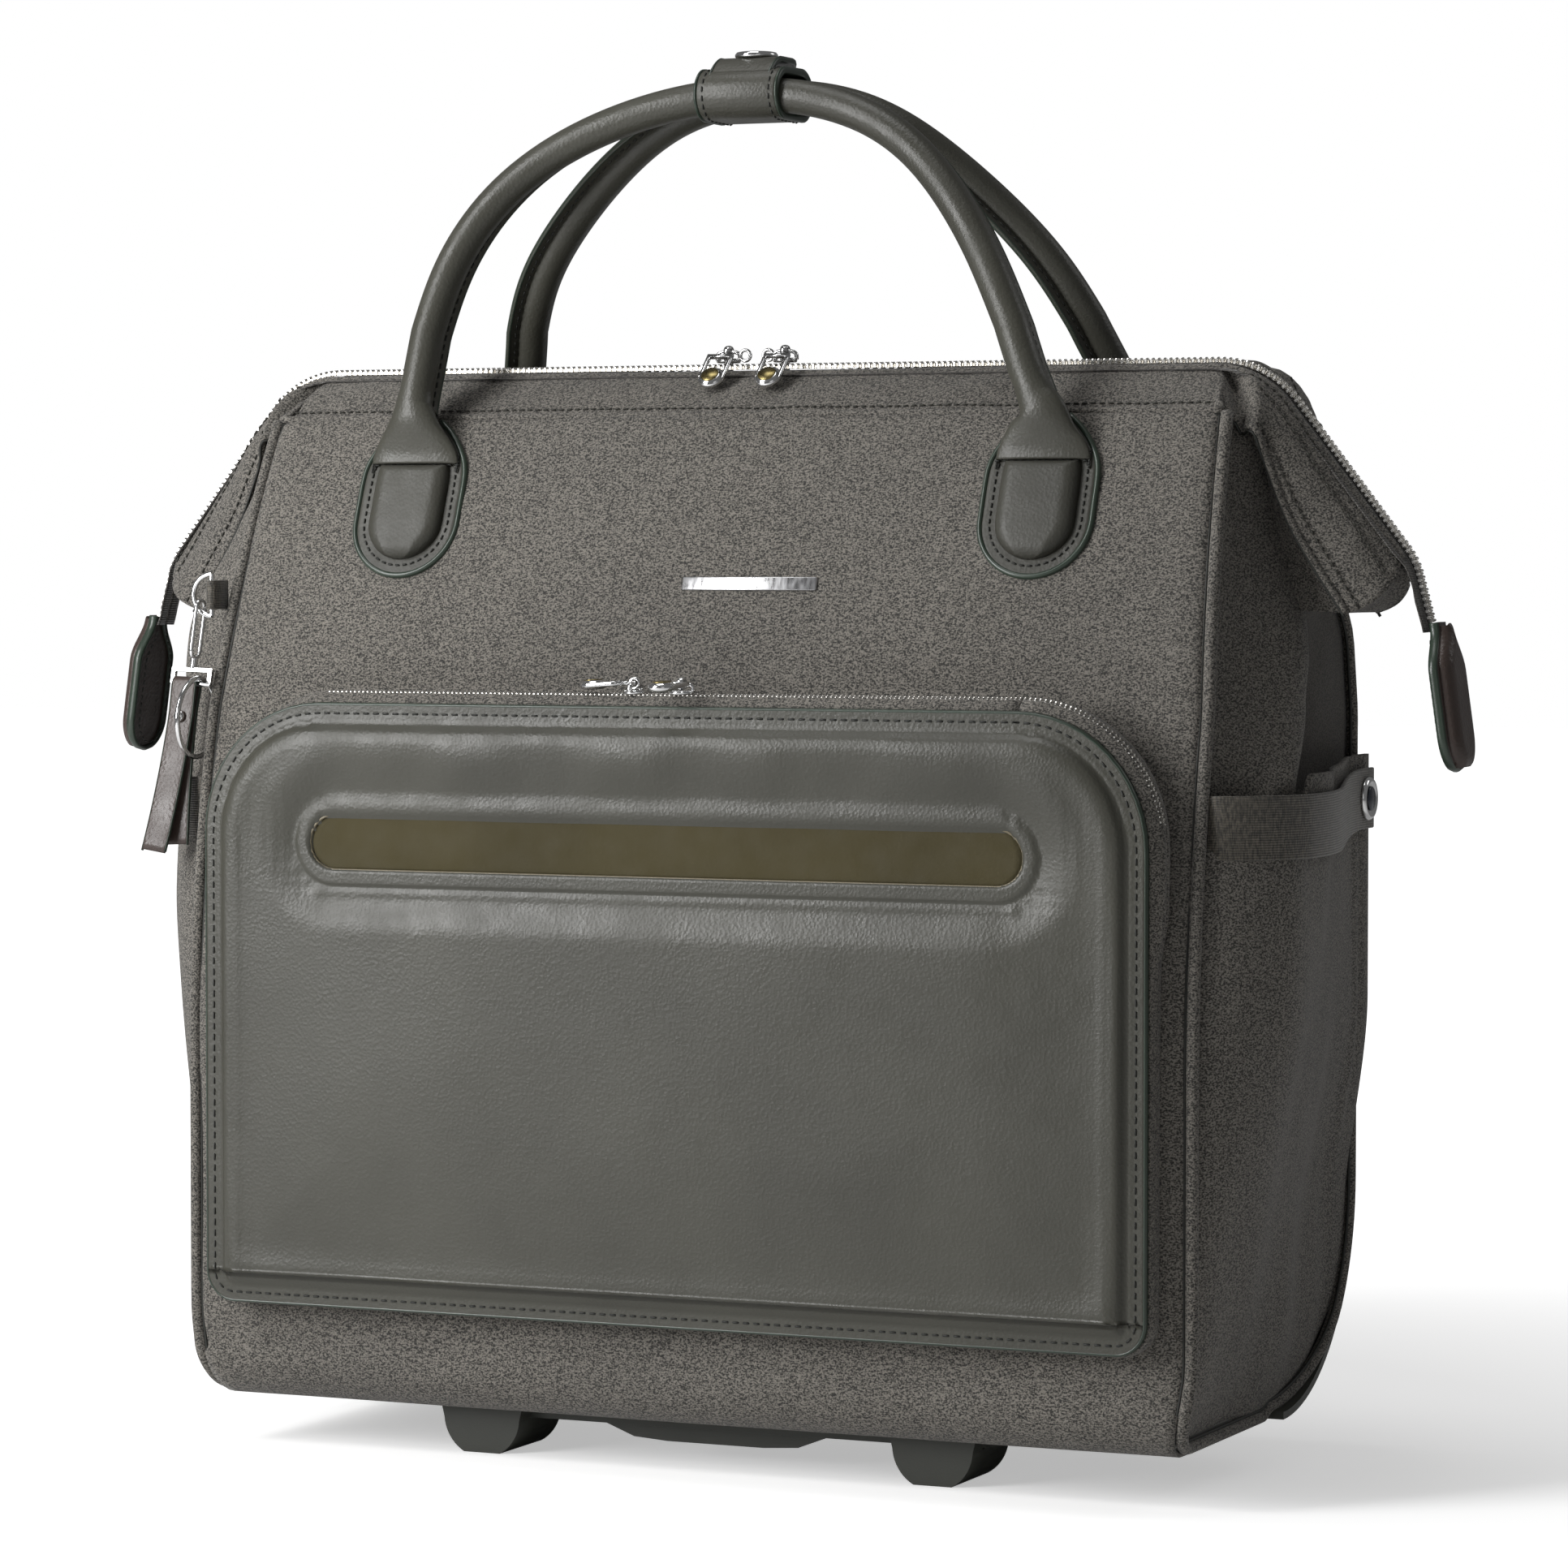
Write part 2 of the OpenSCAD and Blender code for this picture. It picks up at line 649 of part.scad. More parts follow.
module snap_cap() color("silver") {
    rod_z(snap_x, 3, flap_z, flap_z + 2.3, 2.5);
    translate([snap_x, 3, flap_z + 2.2 + eps]) cylinder(r = 8.7, h = 2.6);
}

// ---- pull handle ----

module leg_section(outer, bore) {
    difference() {
        square(outer, center = true);
        square(bore, center = true);
    }
}

module leg_tube(z0, z1, outer, bore) both() translate([leg_x, leg_y, z0]) linear_extrude(z1 - z0)
    leg_section(outer, bore);

module outer_tubes() color("silver") {
    leg_tube(leg_low, leg_high, outer_size, outer_bore);
    block(-leg_x - 14, leg_x + 14, leg_y - 7.5, leg_y + 7.5, leg_low - 6, leg_low);
}

module mid_tubes() color("silver") {
    leg_tube(leg_low + 7, leg_high + bezel_t + 1, mid_size, mid_bore);
    leg_tube(leg_high + bezel_t + 0.4, grip_z - 0.6, outer_size, inner_size + [0.8, 0.8]);
    leg_tube(leg_low + 2, leg_low + 8, outer_bore - [0.2, 0.2], mid_bore);
}

module inner_tubes() color("silver") leg_tube(leg_low + 14, grip_z + 2, inner_size, inner_bore);

module trolley_bezel() color("darkolivegreen") difference() {
    block(-channel_x + 2.2, channel_x - 2.2, inner_back_y + 0.6, rear_d - fabric_t - 0.2, leg_high, leg_high + bezel_t);
    both() translate([leg_x, leg_y, leg_high - 1]) linear_extrude(bezel_t + 2) square(outer_bore, center = true);
}

grip_hw = leg_x + 16;
button_hw = 16;
button_travel = 3.5;

module trolley_grip() color("darkolivegreen") difference() {
    yz_slab(-grip_hw, grip_hw) union() {
        translate([leg_y, grip_z + 13]) circle(r = 10);
        translate([leg_y, grip_z + 16]) circle(r = 10);
        translate([leg_y - 10, grip_z]) square([20, 16]);
    }
    both() translate([leg_x, leg_y, grip_z - 1]) linear_extrude(3) square(inner_size, center = true);
    block(-leg_x - 7, leg_x + 7, leg_y - 3.5, leg_y + 3.5, grip_z + 2, grip_z + 16);
    block(-button_hw - 0.3, button_hw + 0.3, leg_y - 5.3, leg_y + 5.3, grip_z + 15, grip_z + 40);
}

module release_button() color("gray") {
    block(-button_hw, button_hw, leg_y - 5, leg_y + 5, grip_z + 19, grip_z + grip_h + 3);
    block(-3, 3, leg_y - 2, leg_y + 2, grip_z + 13, grip_z + 19 + eps);
}

module release_rods() color("silver") {
    block(-leg_x - 3, leg_x + 3, leg_y - 2, leg_y + 2, grip_z + 10, grip_z + 13);
    both() rod_z(leg_x, leg_y, leg_low + 22, grip_z + 10 + eps, 2);
}

// ---- side pockets, straps and the key fob ----

// Plan of a stuffed side pocket: it swells just behind the front piping and tapers to the rear.
side_y0 = -74;
side_y1 = 96;
side_bulge = 28;
swell_end = 0.2;
function swell(t) = t < swell_end ? pow(sin(90 * t / swell_end), 0.6) :
    (1 + cos(180 * (t - swell_end) / (1 - swell_end))) / 2;
function side_x(y) = let (t = (y - side_y0) / (side_y1 - side_y0)) hw + 0.3 + 9 * t + side_bulge * swell(t);
function side_pts(y0, y1, d) = [for (i = [0 : 14]) let (y = y0 + (y1 - y0) * i / 14) [side_x(y) + d, y]];

module side_pockets() color("dimgray") both() difference() {
    translate([0, 0, 90]) linear_extrude(172)
        polygon(concat([[hw + 0.3, side_y0]], side_pts(side_y0 + 2, side_y1, 0), [[hw + 0.3, side_y1]]));
    translate([0, 0, 94]) linear_extrude(200)
        polygon(concat([[hw + 2.3, side_y0 + 8]], side_pts(side_y0 + 8, side_y1 - 4, -2), [[hw + 2.3, side_y1 - 4]]));
}

strap_z0 = 248;
strap_z1 = 270.5;
strap_y0 = -59;
snap_y = 87;

module side_strap(s) color("dimgray") mirror([s < 0 ? 1 : 0, 0, 0]) {
    translate([0, 0, strap_z0]) linear_extrude(strap_z1 - strap_z0)
        polygon(concat(side_pts(strap_y0, side_y1, 0.4), turned(side_pts(strap_y0, side_y1, 2))));
    rod_x(side_x(snap_y - 8.7) + 2.5, side_x(snap_y - 8.7) + 4.9, snap_y, 261, 8.7);
}

ring_x0 = -hw - 5;
ring_y0 = -66.5;
ring_z0 = 346;

module ring_loop() color("dimgray") difference() {
    block(ring_x0, ring_x0 + 4.4, ring_y0 - 3.2, ring_y0 + 9, ring_z0 - 6, ring_z0 + 6);
    rod_z(ring_x0 + 1.8, ring_y0, ring_z0 - 10, ring_z0 + 10, 1.25);
}

// D-ring: an upright bar through the loop and a bow that stands out to the left.
module d_ring() color("silver") translate([ring_x0 + 1.8, ring_y0, ring_z0]) {
    rod_z(0, 0, -8.5, 8.5, 1.1);
    difference() {
        rotate([90, 0, 0]) rotate_extrude(angle = 360) translate([8.5, 0]) circle(r = 1.1, $fn = 24);
        block(0, 12, -3, 3, -12, 12);
    }
}

clip_x = ring_x0 + 1.8 - 5.4;
clip_top = ring_z0 - 1.2;
clip_l = 26;
hang_z = ring_z0 - 6.6;

// The chain hangs from the D-ring's bow and leans forward over the corner of the bag.
module chain() translate([clip_x, ring_y0, hang_z]) rotate([-11, 2.3, 0])
    translate([-clip_x, -ring_y0, -hang_z]) children();

// Upright oval with straight sides; the gate closes its rear side.
module carabiner() color("silver") translate([clip_x, ring_y0, clip_top]) {
    for (z = [0, -clip_l + 9]) translate([0, 0, z - 4.5]) rotate([0, 90, 0]) rotate([0, 0, z < 0 ? -90 : 90])
        rotate_extrude(angle = 180) translate([3.4, 0]) circle(r = 0.9, $fn = 24);
    rod_z(0, -3.4, -clip_l + 4.5, -4.5, 0.9);
    rod_z(0, 3.4, -clip_l + 4.5, -clip_l + 8, 0.9);
    rod_z(0, 3.4, -8, -4.5, 0.9);
    rod_z(0, 0, -clip_l - 1.5, -clip_l + 1, 1.5);
}

module carabiner_gate() color("silver") translate([clip_x, ring_y0 + 3.4, clip_top])
    rod_z(0, 0, -clip_l + 8.3, -8.3, 0.9);

// Swivel: a stem under the carabiner with a stirrup whose bar carries the strap and the split ring.
fob_top = clip_top - clip_l - 1.7;
bar_drop = 8;

module swivel() color("silver") translate([clip_x, ring_y0, fob_top]) {
    rod_z(0, 0, -2, 0, 1.5);
    block(-9, 9, -1, 1, -3, -1.5);
    for (s = [-1, 1]) block(s * 8.5 - 0.8, s * 8.5 + 0.8, -1, 1, -bar_drop, -1.5);
    rod_x(-9, 9, 0, -bar_drop, 1);
}

module fob_strap() color("saddlebrown") translate([clip_x, ring_y0, fob_top - bar_drop]) {
    difference() {
        rod_x(-7.4, 3, 0, 0, 2.9);
        rod_x(-8, 4, 0, 0, 1.35);
    }
    for (y = [-2.6, 1]) block(-7.4, 3, y, y + 1.6, -72, -2);
    rod_y(-2.2, -1, 1, -14, 2);
}

module split_ring() color("silver") translate([clip_x + 4.9, ring_y0, fob_top - bar_drop - 13.8])
    ring_x(16, 1.1);

base_tray();
front_feet();
chassis_screws();
rear_chassis();
axles();
wheel_hub(-1);  // wheel_hub_left
wheel_hub(1);  // wheel_hub_right
tyre(-1);  // tyre_left
tyre(1);  // tyre_right
bottom_panel();
stiffener_boards();
front_panel();
back_panel();
side_gussets();
rear_cover();
top_band_front();
top_band_back();
top_wings();
mouth_frames();
piping();
zip_tapes();
zip_teeth();
main_slider(main_left_x);  // main_slider_left
main_slider(main_right_x);  // main_slider_right
main_pull(main_left_x);  // main_pull_left
main_pull(main_right_x);  // main_pull_right
zip_tab(-1);  // zip_tab_left
zip_tab(1);  // zip_tab_right
laptop_sleeve();
pocket_gusset();
pocket_front();
window_inset();
pocket_slider(pocket_left_x, -90);  // pocket_slider_left
pocket_slider(pocket_right_x, 0);  // pocket_slider_right
pocket_pull(pocket_left_x, -90);  // pocket_pull_left
pocket_pull(pocket_right_x, 0);  // pocket_pull_right
carry_handle_front();
carry_handle_back();
handle_patches();
handle_wrap();
wrap_flap();
snap_cap();
outer_tubes();
mid_tubes();
inner_tubes();
trolley_bezel();
trolley_grip();
release_button();
release_rods();
side_pockets();
side_strap(-1);  // side_strap_left
side_strap(1);  // side_strap_right
ring_loop();
d_ring();
chain() carabiner();
chain() carabiner_gate();
chain() swivel();
chain() fob_strap();
chain() split_ring();
name_bar();
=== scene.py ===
# Looks of the rolling laptop case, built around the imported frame. Geometry below is written in millimetres.
import json
from math import asin, atan2, copysign, cos, exp, hypot, pi, radians, sin, sqrt, tan

import bmesh
import bpy
from mathutils import Matrix, Vector, noise


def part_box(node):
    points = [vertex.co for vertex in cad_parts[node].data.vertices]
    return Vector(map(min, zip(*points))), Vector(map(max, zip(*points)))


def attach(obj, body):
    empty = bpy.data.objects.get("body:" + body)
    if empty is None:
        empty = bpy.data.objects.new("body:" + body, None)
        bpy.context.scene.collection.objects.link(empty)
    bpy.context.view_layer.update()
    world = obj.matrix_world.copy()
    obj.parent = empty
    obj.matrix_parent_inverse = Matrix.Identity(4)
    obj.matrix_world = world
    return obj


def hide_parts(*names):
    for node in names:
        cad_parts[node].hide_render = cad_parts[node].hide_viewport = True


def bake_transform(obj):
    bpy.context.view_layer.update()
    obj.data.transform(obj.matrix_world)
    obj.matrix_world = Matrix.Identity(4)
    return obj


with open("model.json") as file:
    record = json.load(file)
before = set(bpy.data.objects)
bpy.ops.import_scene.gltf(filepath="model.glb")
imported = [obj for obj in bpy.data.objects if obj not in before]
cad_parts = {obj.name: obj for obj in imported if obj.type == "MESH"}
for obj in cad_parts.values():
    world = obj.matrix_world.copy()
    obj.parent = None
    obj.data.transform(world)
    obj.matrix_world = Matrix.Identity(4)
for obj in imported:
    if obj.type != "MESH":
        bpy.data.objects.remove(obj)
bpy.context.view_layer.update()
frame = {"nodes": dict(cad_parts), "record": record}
NODES = frame["nodes"]
MM = 0.001
BOXES = {name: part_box(name) for name in NODES}


def low(node):
    return BOXES[node][0] / MM


def high(node):
    return BOXES[node][1] / MM


# ---- driving sizes, read from the frame ----

HALF_W = high("piping").x
FRONT = -low("front_panel").y
BACK = high("rear_cover").y
BASE_Z = low("bottom_panel").z
SEAM_Z = high("front_panel").z
SEAM_Y = -low("top_band_front").y
BACK_SEAM = (high("top_band_back").y, low("top_band_back").z)
ZIP_Z = high("zip_tapes").z
LEAN_Z = 160.0
FRONT_R = ((SEAM_Z - LEAN_Z) ** 2 + (FRONT - SEAM_Y) ** 2) / (2 * (FRONT - SEAM_Y))
CORNER_R = 85.0
CORNER_Y = BACK - CORNER_R
CORNER_Z = BASE_Z + 3 + CORNER_R
SHOULDER_Z = 330.0
HEM_R = 17.0


def clamp01(t):
    return max(0.0, min(1.0, t))


def smooth(t):
    t = clamp01(t)
    return t * t * (3 - 2 * t)


def root(x):
    return sqrt(max(0.0, x))


def mix(a, b, t):
    return a + (b - a) * t


def curve(keys, s):
    """Value at s of a curve through keys, each (s, value, ...), rounded at the keys (Catmull-Rom)."""
    s = max(keys[0][0], min(keys[-1][0], s))
    i = max(k for k in range(len(keys) - 1) if keys[k][0] <= s or k == 0)
    t = (s - keys[i][0]) / (keys[i + 1][0] - keys[i][0])
    a, b, c, d = [Vector(keys[max(0, min(len(keys) - 1, i + k))][1:]) for k in (-1, 0, 1, 2)]
    square, cube = 2 * a - 5 * b + 4 * c - d, 3 * b - a - 3 * c + d
    return 0.5 * ((2 * b) + (c - a) * t + square * t ** 2 + cube * t ** 3)


def ripple(p, size, amount, seed=0.0):
    """Smooth unevenness of cloth: amount in mm, size of the waves in mm."""
    return amount * noise.noise(Vector((p[0] / size + seed, p[1] / size - seed, p[2] / size)))


def front_y(z):
    if z < BASE_Z + HEM_R:
        return -FRONT + HEM_R - root(HEM_R ** 2 - (BASE_Z + HEM_R - z) ** 2)
    if z < LEAN_Z:
        return -FRONT
    return -FRONT + FRONT_R - sqrt(FRONT_R ** 2 - (z - LEAN_Z) ** 2)


def half_w(z):
    if z < 60:
        return HALF_W - 7 * ((60 - z) / 36) ** 2
    return HALF_W - 7.5 * clamp01((z - 300) / (SEAM_Z - 300))


def back_y(z):
    slope = (BACK - BACK_SEAM[0]) / (BACK_SEAM[1] - SHOULDER_Z)
    return BACK if z < SHOULDER_Z else BACK - (z - SHOULDER_Z) * slope


def hand(side):
    return "right" if side > 0 else "left"


# ---- mesh helpers ----

def add(name, part, mat, body, replaces=(), smooth_shade=True, ride=True):
    mesh = bpy.data.meshes.new(name)
    verts, faces = part
    mesh.from_pydata([(v[0] * MM, v[1] * MM, v[2] * MM) for v in verts], [], faces)
    bm = bmesh.new()
    bm.from_mesh(mesh)
    bmesh.ops.remove_doubles(bm, verts=bm.verts, dist=1e-6)
    bmesh.ops.recalc_face_normals(bm, faces=bm.faces)
    bm.to_mesh(mesh)
    bm.free()
    mesh.materials.append(mat)
    for p in mesh.polygons:
        p.use_smooth = smooth_shade
    obj = bpy.data.objects.new(name, mesh)
    bpy.context.scene.collection.objects.link(obj)
    if ride:
        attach(obj, body)
    if replaces:
        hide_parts(*replaces)
    return obj


def grid_faces(nu, nv, base=0, wrap=False):
    cols = nu if wrap else nu + 1
    quads = []
    for j in range(nv):
        for i in range(nu):
            a, b = base + j * cols + i, base + j * cols + (i + 1) % cols
            quads.append((a, b, b + cols, a + cols))
    return quads


def sheet_faces(nu, nv):
    """Faces of a closed sheet: one grid, a second one behind it, and the rim between them."""
    n = nu + 1
    base = n * (nv + 1)
    faces = grid_faces(nu, nv) + [f[::-1] for f in grid_faces(nu, nv, base)]
    for i in range(nu):
        faces.append((i + 1, i, base + i, base + i + 1))
        k = nv * n + i
        faces.append((k, k + 1, base + k + 1, base + k))
    for j in range(nv):
        k = j * n
        faces.append((k, k + n, base + k + n, base + k))
        k = j * n + nu
        faces.append((k + n, k, base + k, base + k + n))
    return faces


def open_sheet(fn, nu, nv):
    verts = [Vector(fn(i / nu, j / nv)) for j in range(nv + 1) for i in range(nu + 1)]
    return verts, grid_faces(nu, nv)


def shell(fn, nu, nv, t):
    """Closed sheet: the outer face is fn(u, v), the inner face lies t behind it."""
    outer = open_sheet(fn, nu, nv)[0]
    n = nu + 1
    inner = []
    for j in range(nv + 1):
        for i in range(nu + 1):
            du = outer[j * n + min(i + 1, nu)] - outer[j * n + max(i - 1, 0)]
            dv = outer[min(j + 1, nv) * n + i] - outer[max(j - 1, 0) * n + i]
            normal = du.cross(dv)
            inner.append(outer[j * n + i] - (normal.normalized() * t if normal.length > 1e-9 else Vector()))
    return outer + inner, sheet_faces(nu, nv)


def frames_along(path, up):
    """Tangent, side and up vectors at each point of a path, kept square to it."""
    out = []
    for i, p in enumerate(path):
        tangent = (path[min(i + 1, len(path) - 1)] - path[max(i - 1, 0)]).normalized()
        u = Vector(up(i) if callable(up) else up)
        side = tangent.cross(u).normalized()
        out.append((p, side, side.cross(tangent).normalized()))
    return out


def sweep(path, profile, up=(0, 0, 1), closed=False):
    """Tube along a path. profile is [(side, up), ...] or a function of the share of the path."""
    path = [Vector(p) for p in path]
    rings = []
    n = len(path)
    if closed:
        path = [path[-1]] + path + [path[0]]
    for i, (p, side, u) in enumerate(frames_along(path, up)):
        if closed and (i == 0 or i == n + 1):
            continue
        k = i - 1 if closed else i
        shape = profile(k / max(n - 1, 1)) if callable(profile) else profile
        rings.append([p + side * a + u * b for a, b in shape])
    m = len(rings[0])
    verts = [v for ring in rings for v in ring]
    faces = grid_faces(m, n - 1, wrap=True)
    if closed:
        last = (n - 1) * m
        faces += [(last + i, last + (i + 1) % m, (i + 1) % m, i) for i in range(m)]
    else:
        faces.append(tuple(range(m))[::-1])
        faces.append(tuple(range((n - 1) * m, n * m)))
    return verts, faces


def ellipse(a, b, n=20):
    return [(a * cos(2 * pi * i / n), b * sin(2 * pi * i / n)) for i in range(n)]


def rounded_rect(w, h, r, n=4):
    pts = []
    for cx, cy, start in ((w / 2 - r, h / 2 - r, 0), (r - w / 2, h / 2 - r, 90), (r - w / 2, r - h / 2, 180),
                          (w / 2 - r, r - h / 2, 270)):
        for k in range(n + 1):
            a = radians(start + 90 * k / n)
            pts.append((cx + r * cos(a), cy + r * sin(a)))
    return pts


def lathe(profile, n=48):
    """Turned solid about +Z from (radius, height) points that start and end on the axis."""
    verts, faces = [], []
    for r, z in profile:
        verts += [(r * cos(2 * pi * i / n), r * sin(2 * pi * i / n), z) for i in range(n)]
    faces = grid_faces(n, len(profile) - 1, wrap=True)
    return verts, faces


def join(*parts):
    verts, faces = [], []
    for v, f in parts:
        base = len(verts)
        verts += [Vector(p) for p in v]
        faces += [tuple(i + base for i in face) for face in f]
    return verts, faces


def placed(part, matrix):
    return [matrix @ Vector(v) for v in part[0]], part[1]


def axes(x, y, z, at):
    """Matrix of a frame with these axes and origin."""
    m = Matrix((x, y, z)).transposed().to_4x4()
    m.translation = at
    return m


def flipped(part):
    return [Vector((-v[0], v[1], v[2])) for v in part[0]], [f[::-1] for f in part[1]]


def resample(path, pitch):
    """Points every pitch along a path, each with its direction and the path's own share."""
    out, carried = [], 0.0
    path = [Vector(p) for p in path]
    for a, b in zip(path, path[1:]):
        length = (b - a).length
        while carried <= length and length > 1e-9:
            out.append((mix(a, b, carried / length), (b - a).normalized()))
            carried += pitch
        carried -= length
    return out


def stitch_mesh(path, normal, pitch=4.4, length=3.1, width=0.42, lift=0.1):
    """Raised thread dashes along a path on a surface. normal is a vector or a function of a point."""
    parts = []
    rings = ((-0.5, 0.3, -0.5), (-0.36, 0.9, 0.35), (0.36, 0.9, 0.35), (0.5, 0.3, -0.5))
    for p, d in resample(path, pitch):
        n = Vector(normal(p) if callable(normal) else normal).normalized()
        side = d.cross(n).normalized()
        verts = []
        for s, r, h in rings:
            centre = p + d * (s * length) + n * (lift + h * width)
            for k in range(6):
                a = pi * k / 3
                verts.append(centre + side * (r * width * cos(a)) + n * (r * width * sin(a)))
        faces = grid_faces(6, 3, wrap=True) + [(5, 4, 3, 2, 1, 0), tuple(range(18, 24))]
        parts.append((verts, faces))
    return join(*parts)


def cloth_moves(points, faces, pinned, pressure, slack, cap):
    """How far each point moves in a cloth simulation. pinned gives each point's hold, 0 to 1."""
    mesh = bpy.data.meshes.new("cloth_sheet")
    mesh.from_pydata([tuple(p * MM) for p in points], [], faces)
    sheet = bpy.data.objects.new("cloth_sheet", mesh)
    scene = bpy.context.scene
    scene.collection.objects.link(sheet)
    pin = sheet.vertex_groups.new(name="pin")
    for i, hold in enumerate(pinned):
        if hold > 0:
            pin.add([i], hold, "REPLACE")
    modifier = sheet.modifiers.new("cloth", "CLOTH")
    modifier.point_cache.frame_start = 1
    modifier.point_cache.frame_end = 20
    settings = modifier.settings
    settings.quality = 5
    settings.mass = 0.25
    settings.tension_stiffness = 12
    settings.compression_stiffness = 12
    settings.shear_stiffness = 6
    settings.bending_stiffness = 0.6
    settings.vertex_group_mass = "pin"
    settings.pin_stiffness = 1.0
    settings.use_pressure = True
    settings.uniform_pressure_force = pressure
    settings.shrink_min = -slack
    settings.effector_weights.gravity = 0
    for frame_number in range(1, 21):
        scene.frame_set(frame_number)
    solved = sheet.evaluated_get(bpy.context.evaluated_depsgraph_get()).data
    moves = []
    for p, v in zip(points, solved.vertices):
        d = Vector(v.co) / MM - p
        moves.append(d * (cap / d.length) if d.length > cap else d)
    scene.frame_set(1)
    bpy.data.objects.remove(sheet)
    bpy.data.meshes.remove(mesh)
    return moves


def relax(moves, nu, nv, rounds=2):
    """Evens a field of moves over its grid, so that no single point stands out."""
    n = nu + 1
    for _ in range(rounds):
        out = []
        for j in range(nv + 1):
            for i in range(n):
                near = [moves[jj * n + ii] for ii, jj in ((i - 1, j), (i + 1, j), (i, j - 1), (i, j + 1))
                        if 0 <= ii < n and 0 <= jj <= nv]
                out.append((moves[j * n + i] * 2 + sum(near, Vector())) / (2 + len(near)))
        moves = out
    return moves


def field(moves, nu, nv):
    """Moves as a smooth function of the sheet's own (u, v)."""
    n = nu + 1

    def at(u, v):
        x, y = clamp01(u) * nu, clamp01(v) * nv
        i, j = min(int(x), nu - 1), min(int(y), nv - 1)
        a, b = smooth(x - i) * 0.5 + (x - i) * 0.5, smooth(y - j) * 0.5 + (y - j) * 0.5
        top = mix(moves[j * n + i], moves[j * n + i + 1], a)
        return mix(top, mix(moves[(j + 1) * n + i], moves[(j + 1) * n + i + 1], a), b)
    return at


def settled(fn, nu, nv, hold, pressure=3.0, slack=0.03, cap=4.0):
    """fn(u, v) after a cloth simulation on a coarse copy of the sheet, held where hold(u, v, point) says."""
    points, faces = open_sheet(fn, nu, nv)
    pinned = [hold(i / nu, j / nv, points[j * (nu + 1) + i]) for j in range(nv + 1) for i in range(nu + 1)]
    moves = relax(cloth_moves(points, faces, pinned, pressure, slack, cap), nu, nv)
    free = [m * (1 - h) for m, h in zip(moves, pinned)]
    move = field(free, nu, nv)
    return lambda u, v: Vector(fn(u, v)) + move(u, v)


# ---- materials ----

def material(name, base, rough=0.5, metallic=0.0):
    mat = bpy.data.materials.new(name)
    mat.use_nodes = True
    nt = mat.node_tree
    bsdf = nt.nodes["Principled BSDF"]
    bsdf.inputs["Roughness"].default_value = rough
    bsdf.inputs["Metallic"].default_value = metallic
    bsdf.inputs["Base Color"].default_value = (*base, 1)
    return mat, nt, bsdf


def node(nt, kind, **inputs):
    n = nt.nodes.new(kind)
    for key, value in inputs.items():
        n.inputs[key.replace("_", " ")].default_value = value
    return n


def place_map(nt, turn=(0, 0, 0), scale=(1, 1, 1)):
    coords = nt.nodes.new("ShaderNodeTexCoord")
    mapping = node(nt, "ShaderNodeMapping", Rotation=[radians(a) for a in turn], Scale=scale)
    nt.links.new(coords.outputs["Object"], mapping.inputs["Vector"])
    return mapping.outputs["Vector"]


def noise_tex(nt, vector, scale, detail=2.0, rough=0.5):
    n = node(nt, "ShaderNodeTexNoise", Scale=scale, Detail=detail, Roughness=rough)
    nt.links.new(vector, n.inputs["Vector"])
    return n.outputs["Fac"]


def ramp(nt, fac, stops):
    r = nt.nodes.new("ShaderNodeValToRGB")
    while len(r.color_ramp.elements) < len(stops):
        r.color_ramp.elements.new(0.5)
    for e, (pos, colour) in zip(r.color_ramp.elements, stops):
        e.position = pos
        e.color = (*colour, 1)
    nt.links.new(fac, r.inputs["Fac"])
    return r.outputs["Color"]


def times(base, share):
    return [c * share for c in base]


def clouds(nt, scale, detail, first, second):
    """Slow change between two colours over the part."""
    return ramp(nt, noise_tex(nt, place_map(nt), scale, detail), ((0.3, first), (0.7, second)))


def multiply(nt, a, b):
    m = nt.nodes.new("ShaderNodeMix")
    m.data_type = "RGBA"
    m.blend_type = "MULTIPLY"
    m.inputs["Factor"].default_value = 1.0
    nt.links.new(a, m.inputs["A"])
    nt.links.new(b, m.inputs["B"])
    return m.outputs["Result"]


def bump(nt, height, strength, distance, normal=None):
    b = node(nt, "ShaderNodeBump", Strength=strength, Distance=distance)
    nt.links.new(height, b.inputs["Height"])
    if normal is not None:
        nt.links.new(normal, b.inputs["Normal"])
    return b.outputs["Normal"]


def math_node(nt, operation, a, b):
    """Sum or product of an output and another output or a number."""
    n = nt.nodes.new("ShaderNodeMath")
    n.operation = operation
    nt.links.new(a, n.inputs[0])
    if isinstance(b, float):
        n.inputs[1].default_value = b
    else:
        nt.links.new(b, n.inputs[1])
    return n.outputs[0]


def crepe(name, dark, light):
    """Crepe weave: short crinkled threads that lie on the diagonal, with the yarn's own light and dark speckle and
    painted highlight on the raised thread tops.
    """
    mat, nt, bsdf = material(name, light, 0.84)
    threads = noise_tex(nt, place_map(nt, (0, 35, 0), (0.42, 1, 1)), 1900, 1.5, 0.55)
    cross = noise_tex(nt, place_map(nt, (35, 0, 20), (1, 0.45, 1)), 1500, 1.5, 0.5)
    weave = math_node(nt, "MULTIPLY", math_node(nt, "ADD", threads, cross), 0.5)
    # Colour and bump share the weave pattern: the yarn's own speckle, and painted highlight where the threads stand
    # highest.
    colour = ramp(nt, weave, ((0.42, dark), (0.58, light)))
    patches = clouds(nt, 9, 3.0, (0.9, 0.9, 0.9), (1.05, 1.05, 1.04))
    nt.links.new(multiply(nt, colour, patches), bsdf.inputs["Base Color"])
    nt.links.new(bump(nt, weave, 0.85, 0.0006), bsdf.inputs["Normal"])
    bsdf.inputs["Sheen Weight"].default_value = 0.12
    bsdf.inputs["Sheen Roughness"].default_value = 0.45
    return mat


